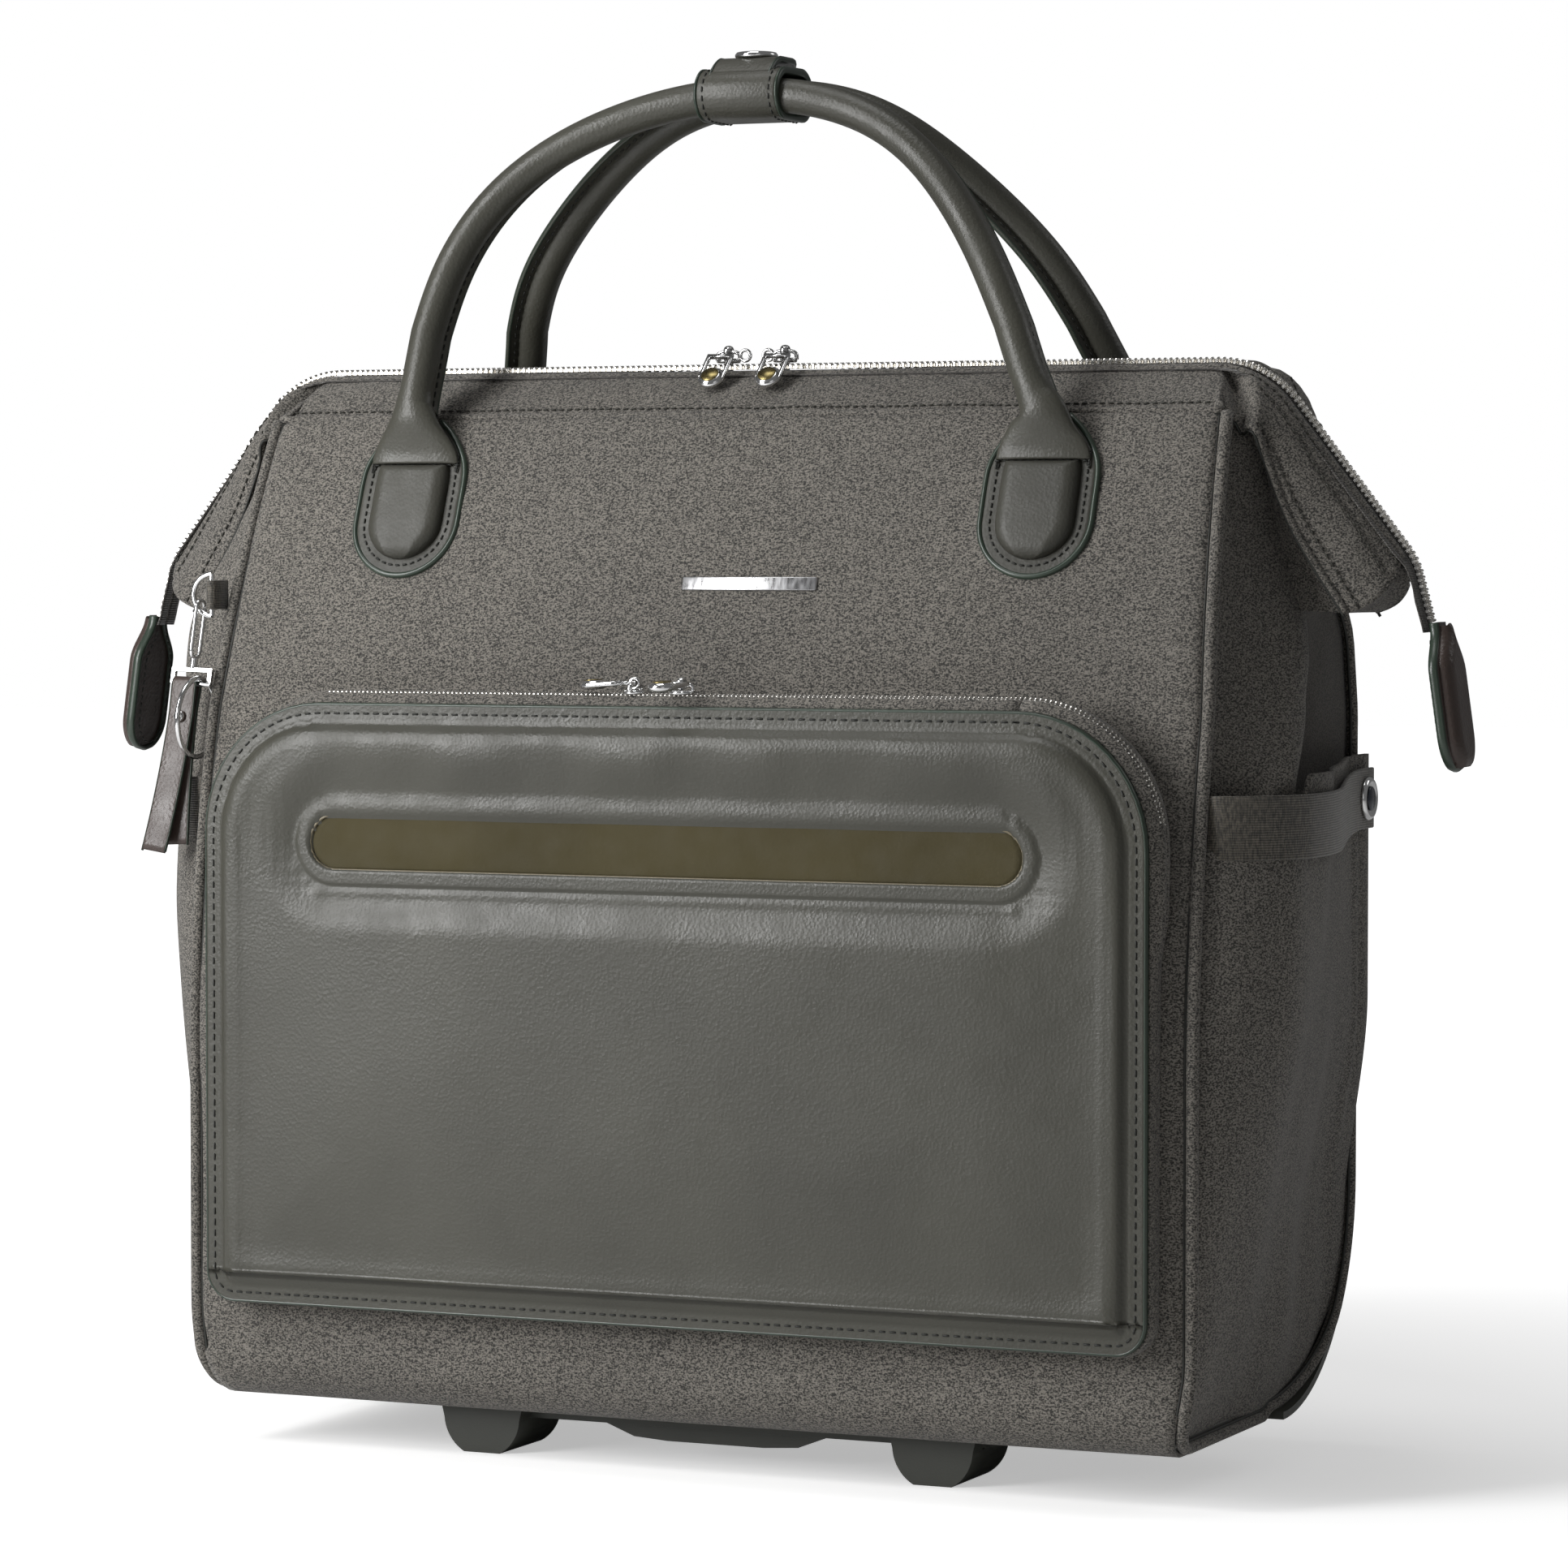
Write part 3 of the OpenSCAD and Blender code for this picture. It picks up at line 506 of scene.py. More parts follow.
def leather(name, base, rough=0.42, grain=1.0):
    """Smooth finished leather: fine pebbled grain, faint clouds in colour and gloss."""
    mat, nt, bsdf = material(name, base, rough)
    cells = node(nt, "ShaderNodeTexVoronoi", Scale=720)
    nt.links.new(place_map(nt), cells.inputs["Vector"])
    pores = noise_tex(nt, place_map(nt), 1500, 3.0)
    nt.links.new(clouds(nt, 14, 4.0, times(base, 0.86), times(base, 1.12)), bsdf.inputs["Base Color"])
    gloss = clouds(nt, 90, 3.0, (rough - 0.05,) * 3, (rough + 0.08,) * 3)
    nt.links.new(gloss, bsdf.inputs["Roughness"])
    first = bump(nt, cells.outputs["Distance"], 0.22 * grain, 0.0004)
    nt.links.new(bump(nt, pores, 0.18 * grain, 0.0003, first), bsdf.inputs["Normal"])
    bsdf.inputs["Specular IOR Level"].default_value = 0.42
    return mat


def webbing(name, dark, light):
    """Ribbed webbing: cords across the tape and fine picks along it."""
    mat, nt, bsdf = material(name, light, 0.5)
    ribs = node(nt, "ShaderNodeTexWave", Scale=330.0, Distortion=1.2, Detail=1.0)
    ribs.bands_direction = "Z"
    nt.links.new(place_map(nt), ribs.inputs["Vector"])
    picks = noise_tex(nt, place_map(nt, (0, 0, 0), (1, 1, 0.25)), 1500, 1.0)
    colour = ramp(nt, picks, ((0.35, dark), (0.68, light)))
    shade = ramp(nt, ribs.outputs["Fac"], ((0.0, (0.55, 0.55, 0.55)), (0.6, (1, 1, 1))))
    nt.links.new(multiply(nt, colour, shade), bsdf.inputs["Base Color"])
    first = bump(nt, ribs.outputs["Fac"], 0.6, 0.0005)
    nt.links.new(bump(nt, picks, 0.4, 0.0003, first), bsdf.inputs["Normal"])
    bsdf.inputs["Sheen Weight"].default_value = 0.3
    return mat


def plastic(name, base, rough=0.45, texture=0.15):
    mat, nt, bsdf = material(name, base, rough)
    grain = noise_tex(nt, place_map(nt), 1300, 2.0)
    nt.links.new(clouds(nt, 25, 3.0, times(base, 0.9), times(base, 1.1)), bsdf.inputs["Base Color"])
    nt.links.new(bump(nt, grain, texture, 0.0003), bsdf.inputs["Normal"])
    return mat


def metal(name, base, rough=0.12, brushed=0.0):
    mat, nt, bsdf = material(name, base, rough, 1.0)
    fine = noise_tex(nt, place_map(nt, (0, 0, 0), (1, 1, 0.06 if brushed else 1)), 700, 3.0)
    wear = ramp(nt, fine, ((0.3, (max(rough - 0.05, 0.02),) * 3), (0.7, (rough + 0.08 + brushed,) * 3)))
    tint = clouds(nt, 60, 2.0, times(base, 0.93), base)
    nt.links.new(wear, bsdf.inputs["Roughness"])
    nt.links.new(tint, bsdf.inputs["Base Color"])
    nt.links.new(bump(nt, fine, 0.05 + brushed * 0.3, 0.0001), bsdf.inputs["Normal"])
    return mat


def thread(name, base):
    mat, nt, bsdf = material(name, base, 0.6)
    twist = node(nt, "ShaderNodeTexWave", Scale=900.0)
    nt.links.new(place_map(nt, (0, 45, 0)), twist.inputs["Vector"])
    colour = ramp(nt, twist.outputs["Fac"], ((0.2, times(base, 0.7)), (0.8, base)))
    nt.links.new(colour, bsdf.inputs["Base Color"])
    return mat


CREPE = crepe("crepe_fabric", (0.0165, 0.0155, 0.0135), (0.180, 0.166, 0.146))
# Darker copy of the crepe: painted shade for the recess behind the side fold.
CREPE_PAINTED_SHADE = crepe("crepe_painted_shade", (0.020, 0.018, 0.015), (0.070, 0.062, 0.052))
LEATHER = leather("grey_leather", (0.050, 0.049, 0.039), 0.38)
BROWN = leather("brown_leather", (0.048, 0.034, 0.029), 0.34, 1.2)
SUEDE = leather("suede_inset", (0.050, 0.041, 0.016), 0.85, 1.0)
EDGE = plastic("painted_edge", (0.028, 0.042, 0.030), 0.30, 0.05)
WEBBING = webbing("webbing_tape", (0.020, 0.017, 0.012), (0.120, 0.105, 0.080))
TAPE = webbing("zip_tape", (0.030, 0.027, 0.023), (0.085, 0.076, 0.066))
CHROME = metal("chrome_plate", (0.80, 0.80, 0.80), 0.09)
TEETH = metal("zip_metal", (0.78, 0.76, 0.72), 0.22)
OLIVE_DISC = metal("olive_brass", (0.26, 0.21, 0.09), 0.28)
SLOT_EDGE = plastic("slot_edge", (0.16, 0.135, 0.085), 0.4, 0.1)
SNAP_MIDDLE = plastic("snap_enamel", (0.02, 0.024, 0.035), 0.22, 0.05)
STEEL = metal("plain_steel", (0.42, 0.42, 0.42), 0.3, 0.1)
ALLOY = metal("drawn_alloy", (0.60, 0.60, 0.61), 0.26, 0.12)
OLIVE = plastic("olive_plastic", (0.034, 0.036, 0.029), 0.42)
GREY_BUTTON = plastic("button_plastic", (0.12, 0.12, 0.11), 0.4)
HUB = plastic("hub_plastic", (0.03, 0.03, 0.03), 0.4)
RUBBER = plastic("tyre_rubber", (0.014, 0.014, 0.014), 0.65, 0.3)
BOARD = plastic("stiffener_board", (0.14, 0.14, 0.13), 0.6)
LINING = crepe("lining_cloth", (0.10, 0.09, 0.075), (0.22, 0.20, 0.17))
THREAD = thread("dark_thread", (0.012, 0.013, 0.010))
PALE_THREAD = thread("fabric_thread", (0.028, 0.027, 0.020))
# Darker and rougher copy of the grey leather for the handle patches; its darker base colour is painted shade.
PAD_LEATHER_SHADED = leather("pad_leather_painted_shade", (0.040, 0.039, 0.031), 0.48)

SLOT_MATERIALS = {
    "crepe_fabric": CREPE, "grey_leather": LEATHER, "brown_leather": BROWN, "suede": SUEDE,
    "webbing": WEBBING, "lining": LINING, "board": BOARD, "olive_plastic": OLIVE,
    "button_plastic": GREY_BUTTON, "hub_plastic": HUB, "tyre_rubber": RUBBER, "tube_alloy": ALLOY,
    "chrome": CHROME, "steel": STEEL, "zip_metal": TEETH,
}


def paint_frame():
    """Gives every carried-over node its slot's material."""
    for row in frame["record"]["subparts"]:
        obj = NODES[row["node"]]
        obj.data.materials.clear()
        obj.data.materials.append(SLOT_MATERIALS[row["material_slot"]])


def soften(name, width):
    obj = NODES[name]
    weld = obj.modifiers.new("weld", "WELD")
    weld.merge_threshold = 1e-6
    edge = obj.modifiers.new("edge", "BEVEL")
    edge.width = width * MM
    edge.segments = 2
    edge.limit_method = "ANGLE"
    edge.angle_limit = radians(35)
    edge.harden_normals = True


# ---- bag body ----

def panel_point(x_share, z, rise=0.0):
    """A point on the front face; the panel dips towards the piping at its sides."""
    x = x_share * (half_w(z) - 2.2)
    dip = 2.2 * smooth((abs(x) - half_w(z) + 9) / 8) + 1.6 * smooth((z - SEAM_Z + 5) / 5)
    crown = 1.2 * (1 - x_share ** 2) * smooth((SEAM_Z - z) / 40)
    y = front_y(z) + dip - crown * smooth((z - 60) / 60) - rise
    return Vector((x, y + ripple((x, 0, z), 70, 0.9, 3.0), z))


def front_fabric():
    """Front face from the band seam down, round the lower edge and a little way underneath."""
    drop = SEAM_Z - BASE_Z - HEM_R
    bend = HEM_R * pi / 2
    under = 34.0
    total = drop + bend + under

    def fn(u, v):
        s = v * total
        share = u * 2 - 1
        if s <= drop:
            return panel_point(share, SEAM_Z - s)
        z = BASE_Z + HEM_R - HEM_R * sin(min(1.0, (s - drop) / bend) * pi / 2)
        x = share * (half_w(z) - 2.2)
        if s <= drop + bend:
            a = (s - drop) / bend * pi / 2
            return Vector((x, -FRONT + HEM_R - HEM_R * cos(a) + ripple((x, 0, z), 40, 0.8, 5.0), z))
        return Vector((x, -FRONT + HEM_R + (s - drop - bend), BASE_Z + ripple((x, s, 0), 40, 0.3)))

    def hold(u, v, p):
        seam = u < 0.03 or u > 0.97 or v < 0.02 or v > 0.86
        return 1.0 if seam else 0.3

    cloth = settled(fn, 56, 62, hold, 1.5, 0.006, 1.6)
    add("front_fabric", shell(cloth, 100, 120, 2.0), CREPE, "bag", ["front_panel"])


def bottom_fabric():
    y0, y1 = -FRONT + HEM_R + 33, CORNER_Y + 1

    def fn(u, v):
        x = (u * 2 - 1) * (half_w(BASE_Z) - 3)
        y = mix(y0, y1, v)
        return Vector((x, y, BASE_Z + 0.4 + ripple((x, y, 0), 45, 0.5)))

    add("bottom_fabric", shell(fn, 60, 24, -1.6), CREPE, "bag", ["bottom_panel"])


def cord_path(side):
    """Seam line around the side gusset: down the front edge, under, up the rear edge to the top."""
    pts = [(half_w(z), front_y(z) + 0.6, z) for z in [SEAM_Z - 1 - 6 * k for k in range(62)]]
    z_low = BASE_Z + 1.8
    r = HEM_R
    y_c, z_c = -FRONT + r, z_low + r
    pts = [p for p in pts if p[2] > z_c]
    for k in range(13):
        a = radians(90 * k / 12)
        z = z_c - r * sin(a)
        pts.append((half_w(max(z, BASE_Z)), y_c - r * cos(a), z))
    y = y_c + 6
    while y < CORNER_Y:
        pts.append((half_w(z_low), y, z_low))
        y += 6
    reach = CORNER_R - 1.5
    for k in range(25):
        a = radians(90 * k / 24)
        z = CORNER_Z - reach * cos(a)
        pts.append((half_w(z) - 0.5, CORNER_Y + reach * sin(a), z))
    z = CORNER_Z + 6
    while z < BACK_SEAM[1]:
        pts.append((half_w(z) - 0.5, back_y(z) - 1.5, z))
        z += 6
    return [Vector((side * x, y, z)) for x, y, z in pts]


def piping_cords():
    parts = []
    for side in (-1, 1):
        path = cord_path(side)
        centre = Vector((0, 10, 230))
        parts.append(sweep(path, ellipse(2.5, 2.5, 12), up=lambda i, c=centre: (1, 0.02, 0.01)))
    add("piping_cords", join(*parts), CREPE, "bag", ["piping"])
    # Thin dark cords in the grooves either side of the piping: painted shade along the seams.
    seams = []
    for side in (-1, 1):
        path = cord_path(side)
        inner, outer = [], []
        for i, p in enumerate(path):
            ahead = path[min(i + 1, len(path) - 1)] - path[max(i - 1, 0)]
            inward = Vector((0, ahead.z, -ahead.y)).normalized()
            if inward.dot(centre - p) < 0:
                inward = -inward
            inner.append(p + Vector((-side * 2.9, 0, 0)) - inward * 0.5)
            outer.append(p + inward * 2.8 + Vector((side * 0.4, 0, 0)))
        seams.append(sweep(inner, ellipse(0.65, 0.65, 8), up=(1, 0.02, 0.01)))
        seams.append(sweep(outer, ellipse(0.65, 0.65, 8), up=(1, 0.02, 0.01)))
    add("piping_seam_painted_shade", join(*seams), THREAD, "bag")


# Fold of the stuffed side gusset: height, how far out, how far back.
FOLD_RIGHT = ((235, 242, -56), (274, 240, -44), (302, 236, -23), (337, 231, -3), (372, 224, 3),
              (406, 216.5, -11))
FOLD_LEFT = ((235, 242, -56), (274, 242, -50), (302, 242, -46), (337, 240, -42), (372, 226, -30),
             (406, 216.5, -20))
SWELL_END = 0.2
SIDE_Y0, SIDE_Y1 = low("side_pockets").y, high("side_pockets").y
SWELL_OUT = high("side_pockets").x - HALF_W


def swell(t):
    if t < SWELL_END:
        return max(0.0, sin(pi / 2 * t / SWELL_END)) ** 0.6
    return (1 + cos(pi * (t - SWELL_END) / (1 - SWELL_END))) / 2


def side_swell(y, z):
    """How far the stuffed lower side stands out beyond the piping."""
    start = front_y(z) + 3
    t = clamp01((y - start) / (SIDE_Y1 - start))
    fill = smooth((z - 12) / 215)
    return 28 * swell(t) * fill + 9 * t * smooth((z - 95) / 90)


def side_lower(side):
    """Lower side: the front gusset below the strap and the outer layer of the side pocket in one swell."""
    y_end = BACK - 3.5

    def bottom(y):
        if y < -FRONT + HEM_R:
            gap = HEM_R ** 2 - (y + FRONT - HEM_R) ** 2
            return BASE_Z + 2 + HEM_R - root(gap)
        if y < CORNER_Y:
            return BASE_Z + 2
        return CORNER_Z - sqrt((CORNER_R - 3) ** 2 - min(y - CORNER_Y, CORNER_R - 3) ** 2)

    def rim(y):
        return mix(263, 279, smooth((y + 46) / 14)) + 3 * smooth((y - 20) / 80)

    def fn(u, v):
        y = mix(-FRONT + 2.5, y_end, u ** 1.25)
        z = mix(bottom(y), rim(y), v)
        y = max(y, front_y(z) + 2.5)
        x = half_w(z) - 1.6 + side_swell(y, z) * smooth(v * 9)
        x += 1.3 * exp(-((y - 84) / 3.5) ** 2) * smooth((z - 110) / 60)
        x -= 1.0 * exp(-((y - 90) / 3.0) ** 2) * smooth((z - 110) / 60)
        wave = smooth((u - 0.05) * 5) * smooth((1 - u) * 8)
        x += (ripple((y, z * 0.45, 0), 34, 2.6, 7.0 + side) + ripple((y, 0, z), 90, 2.0, 2.0 + side)) * wave
        return Vector((side * x, y, z))

    def hold(u, v, p):
        if u < 0.03 or u > 0.97 or v < 0.04:
            return 1.0
        return max(0.75 * smooth((v - 0.8) / 0.1), 0.2)

    cloth = settled(fn, 56, 60, hold, 2.5 * side, 0.02, 4.0)
    part = shell(cloth, 96, 100, 1.8 * side)
    name = "side_pocket_fabric_" + hand(side)
    return add(name, part, CREPE, "bag")


def side_upper(side):
    """Upper side: a soft upright fold, a tuck behind it and the run back to the rear seam."""
    z0, z1 = 236, 417

    def fn(u, v):
        z = mix(z0, z1, v)
        fx, fy = curve(FOLD_RIGHT if side > 0 else FOLD_LEFT, z)
        y0, y1 = front_y(z) + 2.5, back_y(z) - 3.5
        edge = half_w(z) - 1.6
        r = min(8.0, max(1.0, (fx - 212) / 2.4))
        if u < 0.5:
            t = u / 0.5
            y = mix(y0, fy - r * 0.2, t)
            x = mix(edge, fx, smooth(t) if z > 262 else t ** 0.6)
        elif u < 0.66:
            a = radians(165) * (u - 0.5) / 0.16
            y = fy + r * sin(a)
            x = fx - r + r * cos(a)
        else:
            t = (u - 0.66) / 0.34
            start_x = fx - r + r * cos(radians(165))
            start_y = fy + r * sin(radians(165))
            deep = min(start_x, 208.0)
            if t < 0.2:
                x, y = mix(start_x, deep, smooth(t * 5)), mix(start_y, start_y + 2, smooth(t * 5))
            else:
                back = (t - 0.2) / 0.8
                x, y = mix(deep, edge - 0.5, smooth(back)), mix(start_y + 2, y1, back)
        wave = smooth(u * 8) * smooth((1 - u) * 10)
        under = HALF_W - 5.0 + side_swell(y, z)
        x = mix(min(x, under), x, smooth((z - 268) / 12))
        x += ripple((y, 0, z), 55, 2.2, 11.0 + side) * wave
        return Vector((side * x, y, z))

    def hold(u, v, p):
        return 1.0 if u < 0.04 or u > 0.96 or v < 0.2 or v > 0.97 else 0.25

    cloth = settled(fn, 56, 44, hold, 2.5 * side, 0.02, 4.0)
    part = shell(cloth, 96, 70, 1.6 * side)
    name = "side_gusset_fabric_" + hand(side)
    cloth_piece = add(name, part, CREPE, "bag")
    # Faces behind the fold, between 270 and 400 mm up, get the darker crepe: painted shade in the recess behind the
    # fold.
    cloth_piece.data.materials.append(CREPE_PAINTED_SHADE)
    for face in cloth_piece.data.polygons:
        z = face.center.z / MM
        fold_y = curve(FOLD_RIGHT if side > 0 else FOLD_LEFT, z)[1]
        if 270 < z < 400 and face.center.y / MM > fold_y + 5:
            face.material_index = 1
    return cloth_piece


def sides():
    for side in (-1, 1):
        lower = side_lower(side)
        upper = side_upper(side)
        if side > 0:
            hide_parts("side_pockets")
            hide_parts("side_gussets")


def rear_fabric():
    """Rear cover: flat over the tubes, with leaning shoulders either side of the handle channel."""
    channel = -low("trolley_bezel").x + 2.2
    top = high("trolley_bezel").z
    z0 = CORNER_Z + 1
    stops = [-HALF_W + 4, -channel - 2, -channel, channel, channel + 2, HALF_W - 4]
    counts = [24, 2, 36, 2, 24]
    xs = [stops[0]]
    for a, b, n in zip(stops, stops[1:], counts):
        xs += [mix(a, b, k / n) for k in range(1, n + 1)]

    def fn(u, v):
        x = xs[round(u * (len(xs) - 1))]
        inside = abs(x) <= channel + 0.1
        z = mix(z0, top if inside else 371, v)
        y = BACK if inside else min(BACK, back_y(z))
        dip = 1.8 * smooth((abs(x) - HALF_W + 16) / 12)
        rib = 0.9 * exp(-((abs(x) - channel - 8) / 1.2) ** 2)
        y += ripple((x, 0, z), 80, 1.0, 21.0) - dip - rib
        return Vector((max(-half_w(z) + 2, min(half_w(z) - 2, x)), y, z))

    add("rear_fabric", shell(fn, len(xs) - 1, 70, -2.2), CREPE, "bag", ["rear_cover"])


def upper_back_fabric():
    """Leaning panel above the rear cover, and the inner back behind the pull handle."""
    def fn(u, v):
        share = u * 2 - 1
        if v < 0.35:
            z = mix(300, high("back_panel").z - 45, v / 0.35)
            y = low("trolley_bezel").y - 1.0
        else:
            z = mix(high("back_panel").z - 45, BACK_SEAM[1], (v - 0.35) / 0.65)
            y = min(low("trolley_bezel").y - 1.0, back_y(z) - 0.4)
        x = share * (half_w(z) - 4)
        return Vector((x, y + ripple((x, 0, z), 60, 0.7, 9.0), z))

    add("upper_back_fabric", shell(fn, 80, 40, -2.0), CREPE, "bag", ["back_panel"])


# ---- top zip, bands and wings ----

TURN_1, TURN_2 = radians(52), radians(75)
BEND_X, BEND_R1, SLOPE_L, BEND_R2, TAIL_L = 194.0, 40.0, 72.0, 30.0, 22.0
ARC_1 = BEND_R1 * TURN_1
ARC_2 = BEND_R2 * (TURN_2 - TURN_1)
ZIP_END = BEND_X + ARC_1 + SLOPE_L + ARC_2 + TAIL_L


def zip_at(s, offset=0.0):
    """Point (x, z) on the zip at distance s from the middle, and its outward direction."""
    side, s = (-1 if s < 0 else 1), abs(s)
    if s <= BEND_X:
        x, z, turn = s, ZIP_Z, 0.0
    elif s <= BEND_X + ARC_1:
        turn = (s - BEND_X) / BEND_R1
        x, z = BEND_X + BEND_R1 * sin(turn), ZIP_Z - BEND_R1 * (1 - cos(turn))
    else:
        x = BEND_X + BEND_R1 * sin(TURN_1)
        z = ZIP_Z - BEND_R1 * (1 - cos(TURN_1))
        run = min(s - BEND_X - ARC_1, SLOPE_L)
        x, z, turn = x + run * cos(TURN_1), z - run * sin(TURN_1), TURN_1
        rest = s - BEND_X - ARC_1 - SLOPE_L
        if rest > 0:
            cx, cz = x - BEND_R2 * sin(TURN_1), z - BEND_R2 * cos(TURN_1)
            turn = TURN_1 + min(rest, ARC_2) / BEND_R2
            x, z = cx + BEND_R2 * sin(turn), cz + BEND_R2 * cos(turn)
            rest = max(0.0, rest - ARC_2)
            x, z = x + rest * cos(turn), z - rest * sin(turn)
    x, z = x + offset * sin(turn), z + offset * cos(turn)
    return Vector((side * x, 0, z)), Vector((side * sin(turn), 0, cos(turn)))


WING_END = BEND_X + ARC_1 + SLOPE_L + 3
# Lower edge of the band and wing: distance along the zip, then x, y, z.
LOW_FRONT = ((0, 0, -SEAM_Y, SEAM_Z), (188, 188, -SEAM_Y, SEAM_Z), (202, 203, -SEAM_Y + 0.5, SEAM_Z - 0.5),
             (214, 213, -SEAM_Y + 4, SEAM_Z - 4), (232, 220, -22.5, 401), (262, 232, -22, 373),
             (WING_END, 253, -21, 340))
LOW_BACK = ((0, 0, *BACK_SEAM), (186, 186, *BACK_SEAM), (202, 205, BACK_SEAM[0] - 1, 427),
            (216, 218, BACK_SEAM[0] - 5, 415), (234, 222, 32, 398), (262, 232, 24, 373),
            (WING_END, 253, 21, 340))
# Lower seam, side of the zip and crest of the front and the rear band.
BANDS = ((LOW_FRONT, -1, 0.0), (LOW_BACK, 1, 5.5))
TAPE_SHOWN = 4.0


def band_point(s, t, low_keys, way, crest):
    """A point on the band and wing cloth: t runs from the zip (0) to the lower seam (1)."""
    top, out = zip_at(s, -0.6)
    top.y = way * TAPE_SHOWN
    edge = curve(low_keys, abs(s))
    edge.x *= -1 if s < 0 else 1
    p = mix(top, edge, t)
    wing = smooth((abs(s) - BEND_X - 14) / 30)
    soft = sin(pi * t)
    lift = crest * sin(pi * min(1.0, t * 0.9)) * smooth((abs(s) + 40) / 150) * (1 - wing)
    p += Vector((0, 0, lift)) + (out * 0.6 + Vector((0, way * 0.8, 0))) * soft * mix(0.8, 4.2, wing)
    sag = smooth((abs(s) - WING_END + 26) / 26)
    p += Vector(((1 if s > 0 else -1) * 1.5, 0, -6.0)) * sag * sin(pi * clamp01(t)) * 0.9
    fold_at = mix(BEND_X + 6, BEND_X + 20, t)
    crease = exp(-((abs(s) - fold_at) / 3.6) ** 2) * smooth(t / 0.25)
    p -= (out * 0.7 + Vector((0, way * 0.7, 0))) * 6.5 * crease
    ridge = exp(-((abs(s) - fold_at - 9) / 6.0) ** 2) * smooth(t / 0.3)
    p += (out * 0.7 + Vector((0, way * 0.7, 0))) * 2.6 * ridge
    groove = exp(-((t - 0.30) / 0.02) ** 2) * wing
    p -= (out * 0.6 + Vector((0, way * 0.6, 0))) * 0.9 * groove
    welt = exp(-((t - 0.80) / 0.02) ** 2) * wing
    p -= (out * 0.6 + Vector((0, way * 0.6, 0))) * 0.7 * welt
    p += (out * 0.5 + Vector((0, way * 0.8, 0))) * ripple((s, 0, t * 30), 26, 1.7, 4.0 + way) * soft
    return p


def band_fabric(name, band, replaces):
    def fn(u, v):
        return band_point((u * 2 - 1) * WING_END, v, *band)

    add("band_fabric_" + name, shell(fn, 260, 24, 1.5 * band[1]), CREPE, "bag", replaces)


def wing_under(side):
    """Cloth under the wing: it hangs from both lower seams and tucks in to the side of the bag."""
    def fn(u, v):
        s = mix(BEND_X + 21, WING_END - 0.5, v)
        way = -1 if u < 0.5 else 1
        edge = curve(LOW_FRONT if way < 0 else LOW_BACK, s)
        edge.y -= way * mix(2.0, 6.0, smooth(v * 3))
        edge.x -= mix(1.0, 3.0, smooth(v * 3))
        z = edge.z
        tuck = Vector((mix(211, 213, v), way * 1.5, z + 1))
        t = abs(u - 0.5) * 2
        p = mix(tuck, edge, t)
        p.x += ripple((p.x, p.y, p.z), 22, 1.6, 6.0) * sin(pi * t)
        return Vector((side * p.x, p.y, p.z))

    add("wing_lining_" + hand(side), shell(fn, 40, 30, 1.2 * side),
        CREPE, "bag")


def wing_end(side):
    """Cloth across the open end of the wing, sagging a little behind the zip's tail."""
    def fn(u, v):
        s = side * (WING_END - mix(0.4, 2.5, v))
        a, b = (band_point(s, mix(0.18, 0.985, v), *band) for band in BANDS)
        p = mix(a, b, u)
        p.x -= side * 3.0 * sin(pi * u)
        p.z += 2.2 * sin(pi * u) * smooth(1 - v)
        return p

    add("wing_end_" + hand(side), shell(fn, 24, 20, 1.2 * side),
        CREPE, "bag")


def zip_tape():
    """Woven tape either side of the teeth, standing free of the wings at the tail."""
    parts = []
    for way in (-1, 1):
        def fn(u, v, way=way):
            s = (u * 2 - 1) * ZIP_END
            p, out = zip_at(s, -0.9)
            loose = smooth((abs(s) - WING_END + 4) / 12)
            wide = mix(9.0, 6.4, loose) + loose * ripple((s, 0, 0), 7, 1.4, way)
            p.y = way * mix(0.5, wide, v)
            return p - out * (mix(1.6, 0.4, loose) * smooth(v * 1.3))
        parts.append(shell(fn, 280, 4, 0.7 * way))
    return add("zip_tape_cloth", join(*parts), TAPE, "bag", ["zip_tapes"])


def tooth(width, depth, height):
    """One zip tooth with a chamfered, rounded head. It points along +X from its root."""
    w, h = depth / 2, height
    ring = [(0, 0.75), (0.55 * width, 0.9), (0.8 * width, 1.0), (width, 0.7)]
    verts = []
    for x, s in ring:
        outline = ((-1, 0), (1, 0), (1, 0.65), (0.45, 1), (-0.45, 1), (-1, 0.65))
        verts += [(x, w * s * across, h * s * up) for across, up in outline]
    faces = grid_faces(6, 3, wrap=True) + [(5, 4, 3, 2, 1, 0), tuple(range(18, 24))]
    return verts, faces


def teeth_along(point, length, pitch, shape, start):
    """Teeth from both tapes along a zip. point(s) gives a place, the chain's direction and its normal."""
    parts = []
    count = int(length / pitch)
    for k in range(count):
        for way, shift in ((-1, 0.0), (1, 0.5)):
            p, d, out = point(start + (k + shift) * pitch)
            across = out.cross(d).normalized() * -way
            parts.append(placed(shape, axes(across, d, out, p - across * 2.9)))
    return join(*parts)


def zip_chain():
    def main(s):
        p, out = zip_at(s)
        q = zip_at(s + 0.5)[0]
        return p, (q - p).normalized(), out

    def pocket(s):
        p, out = pocket_edge(s, ZIP_OUT)
        q = pocket_edge(s + 0.5, ZIP_OUT)[0]
        return p, (q - p).normalized(), out

    top = teeth_along(main, 2 * ZIP_END - 3, 2.45, tooth(3.3, 1.35, 2.2), -ZIP_END + 1)
    small = teeth_along(pocket, POCKET_ZIP_L, 1.9, tooth(2.9, 1.0, 1.7), POCKET_ZIP_START)
    add("zip_teeth_rows", join(top, small), TEETH, "bag", ["zip_teeth"], smooth_shade=False)


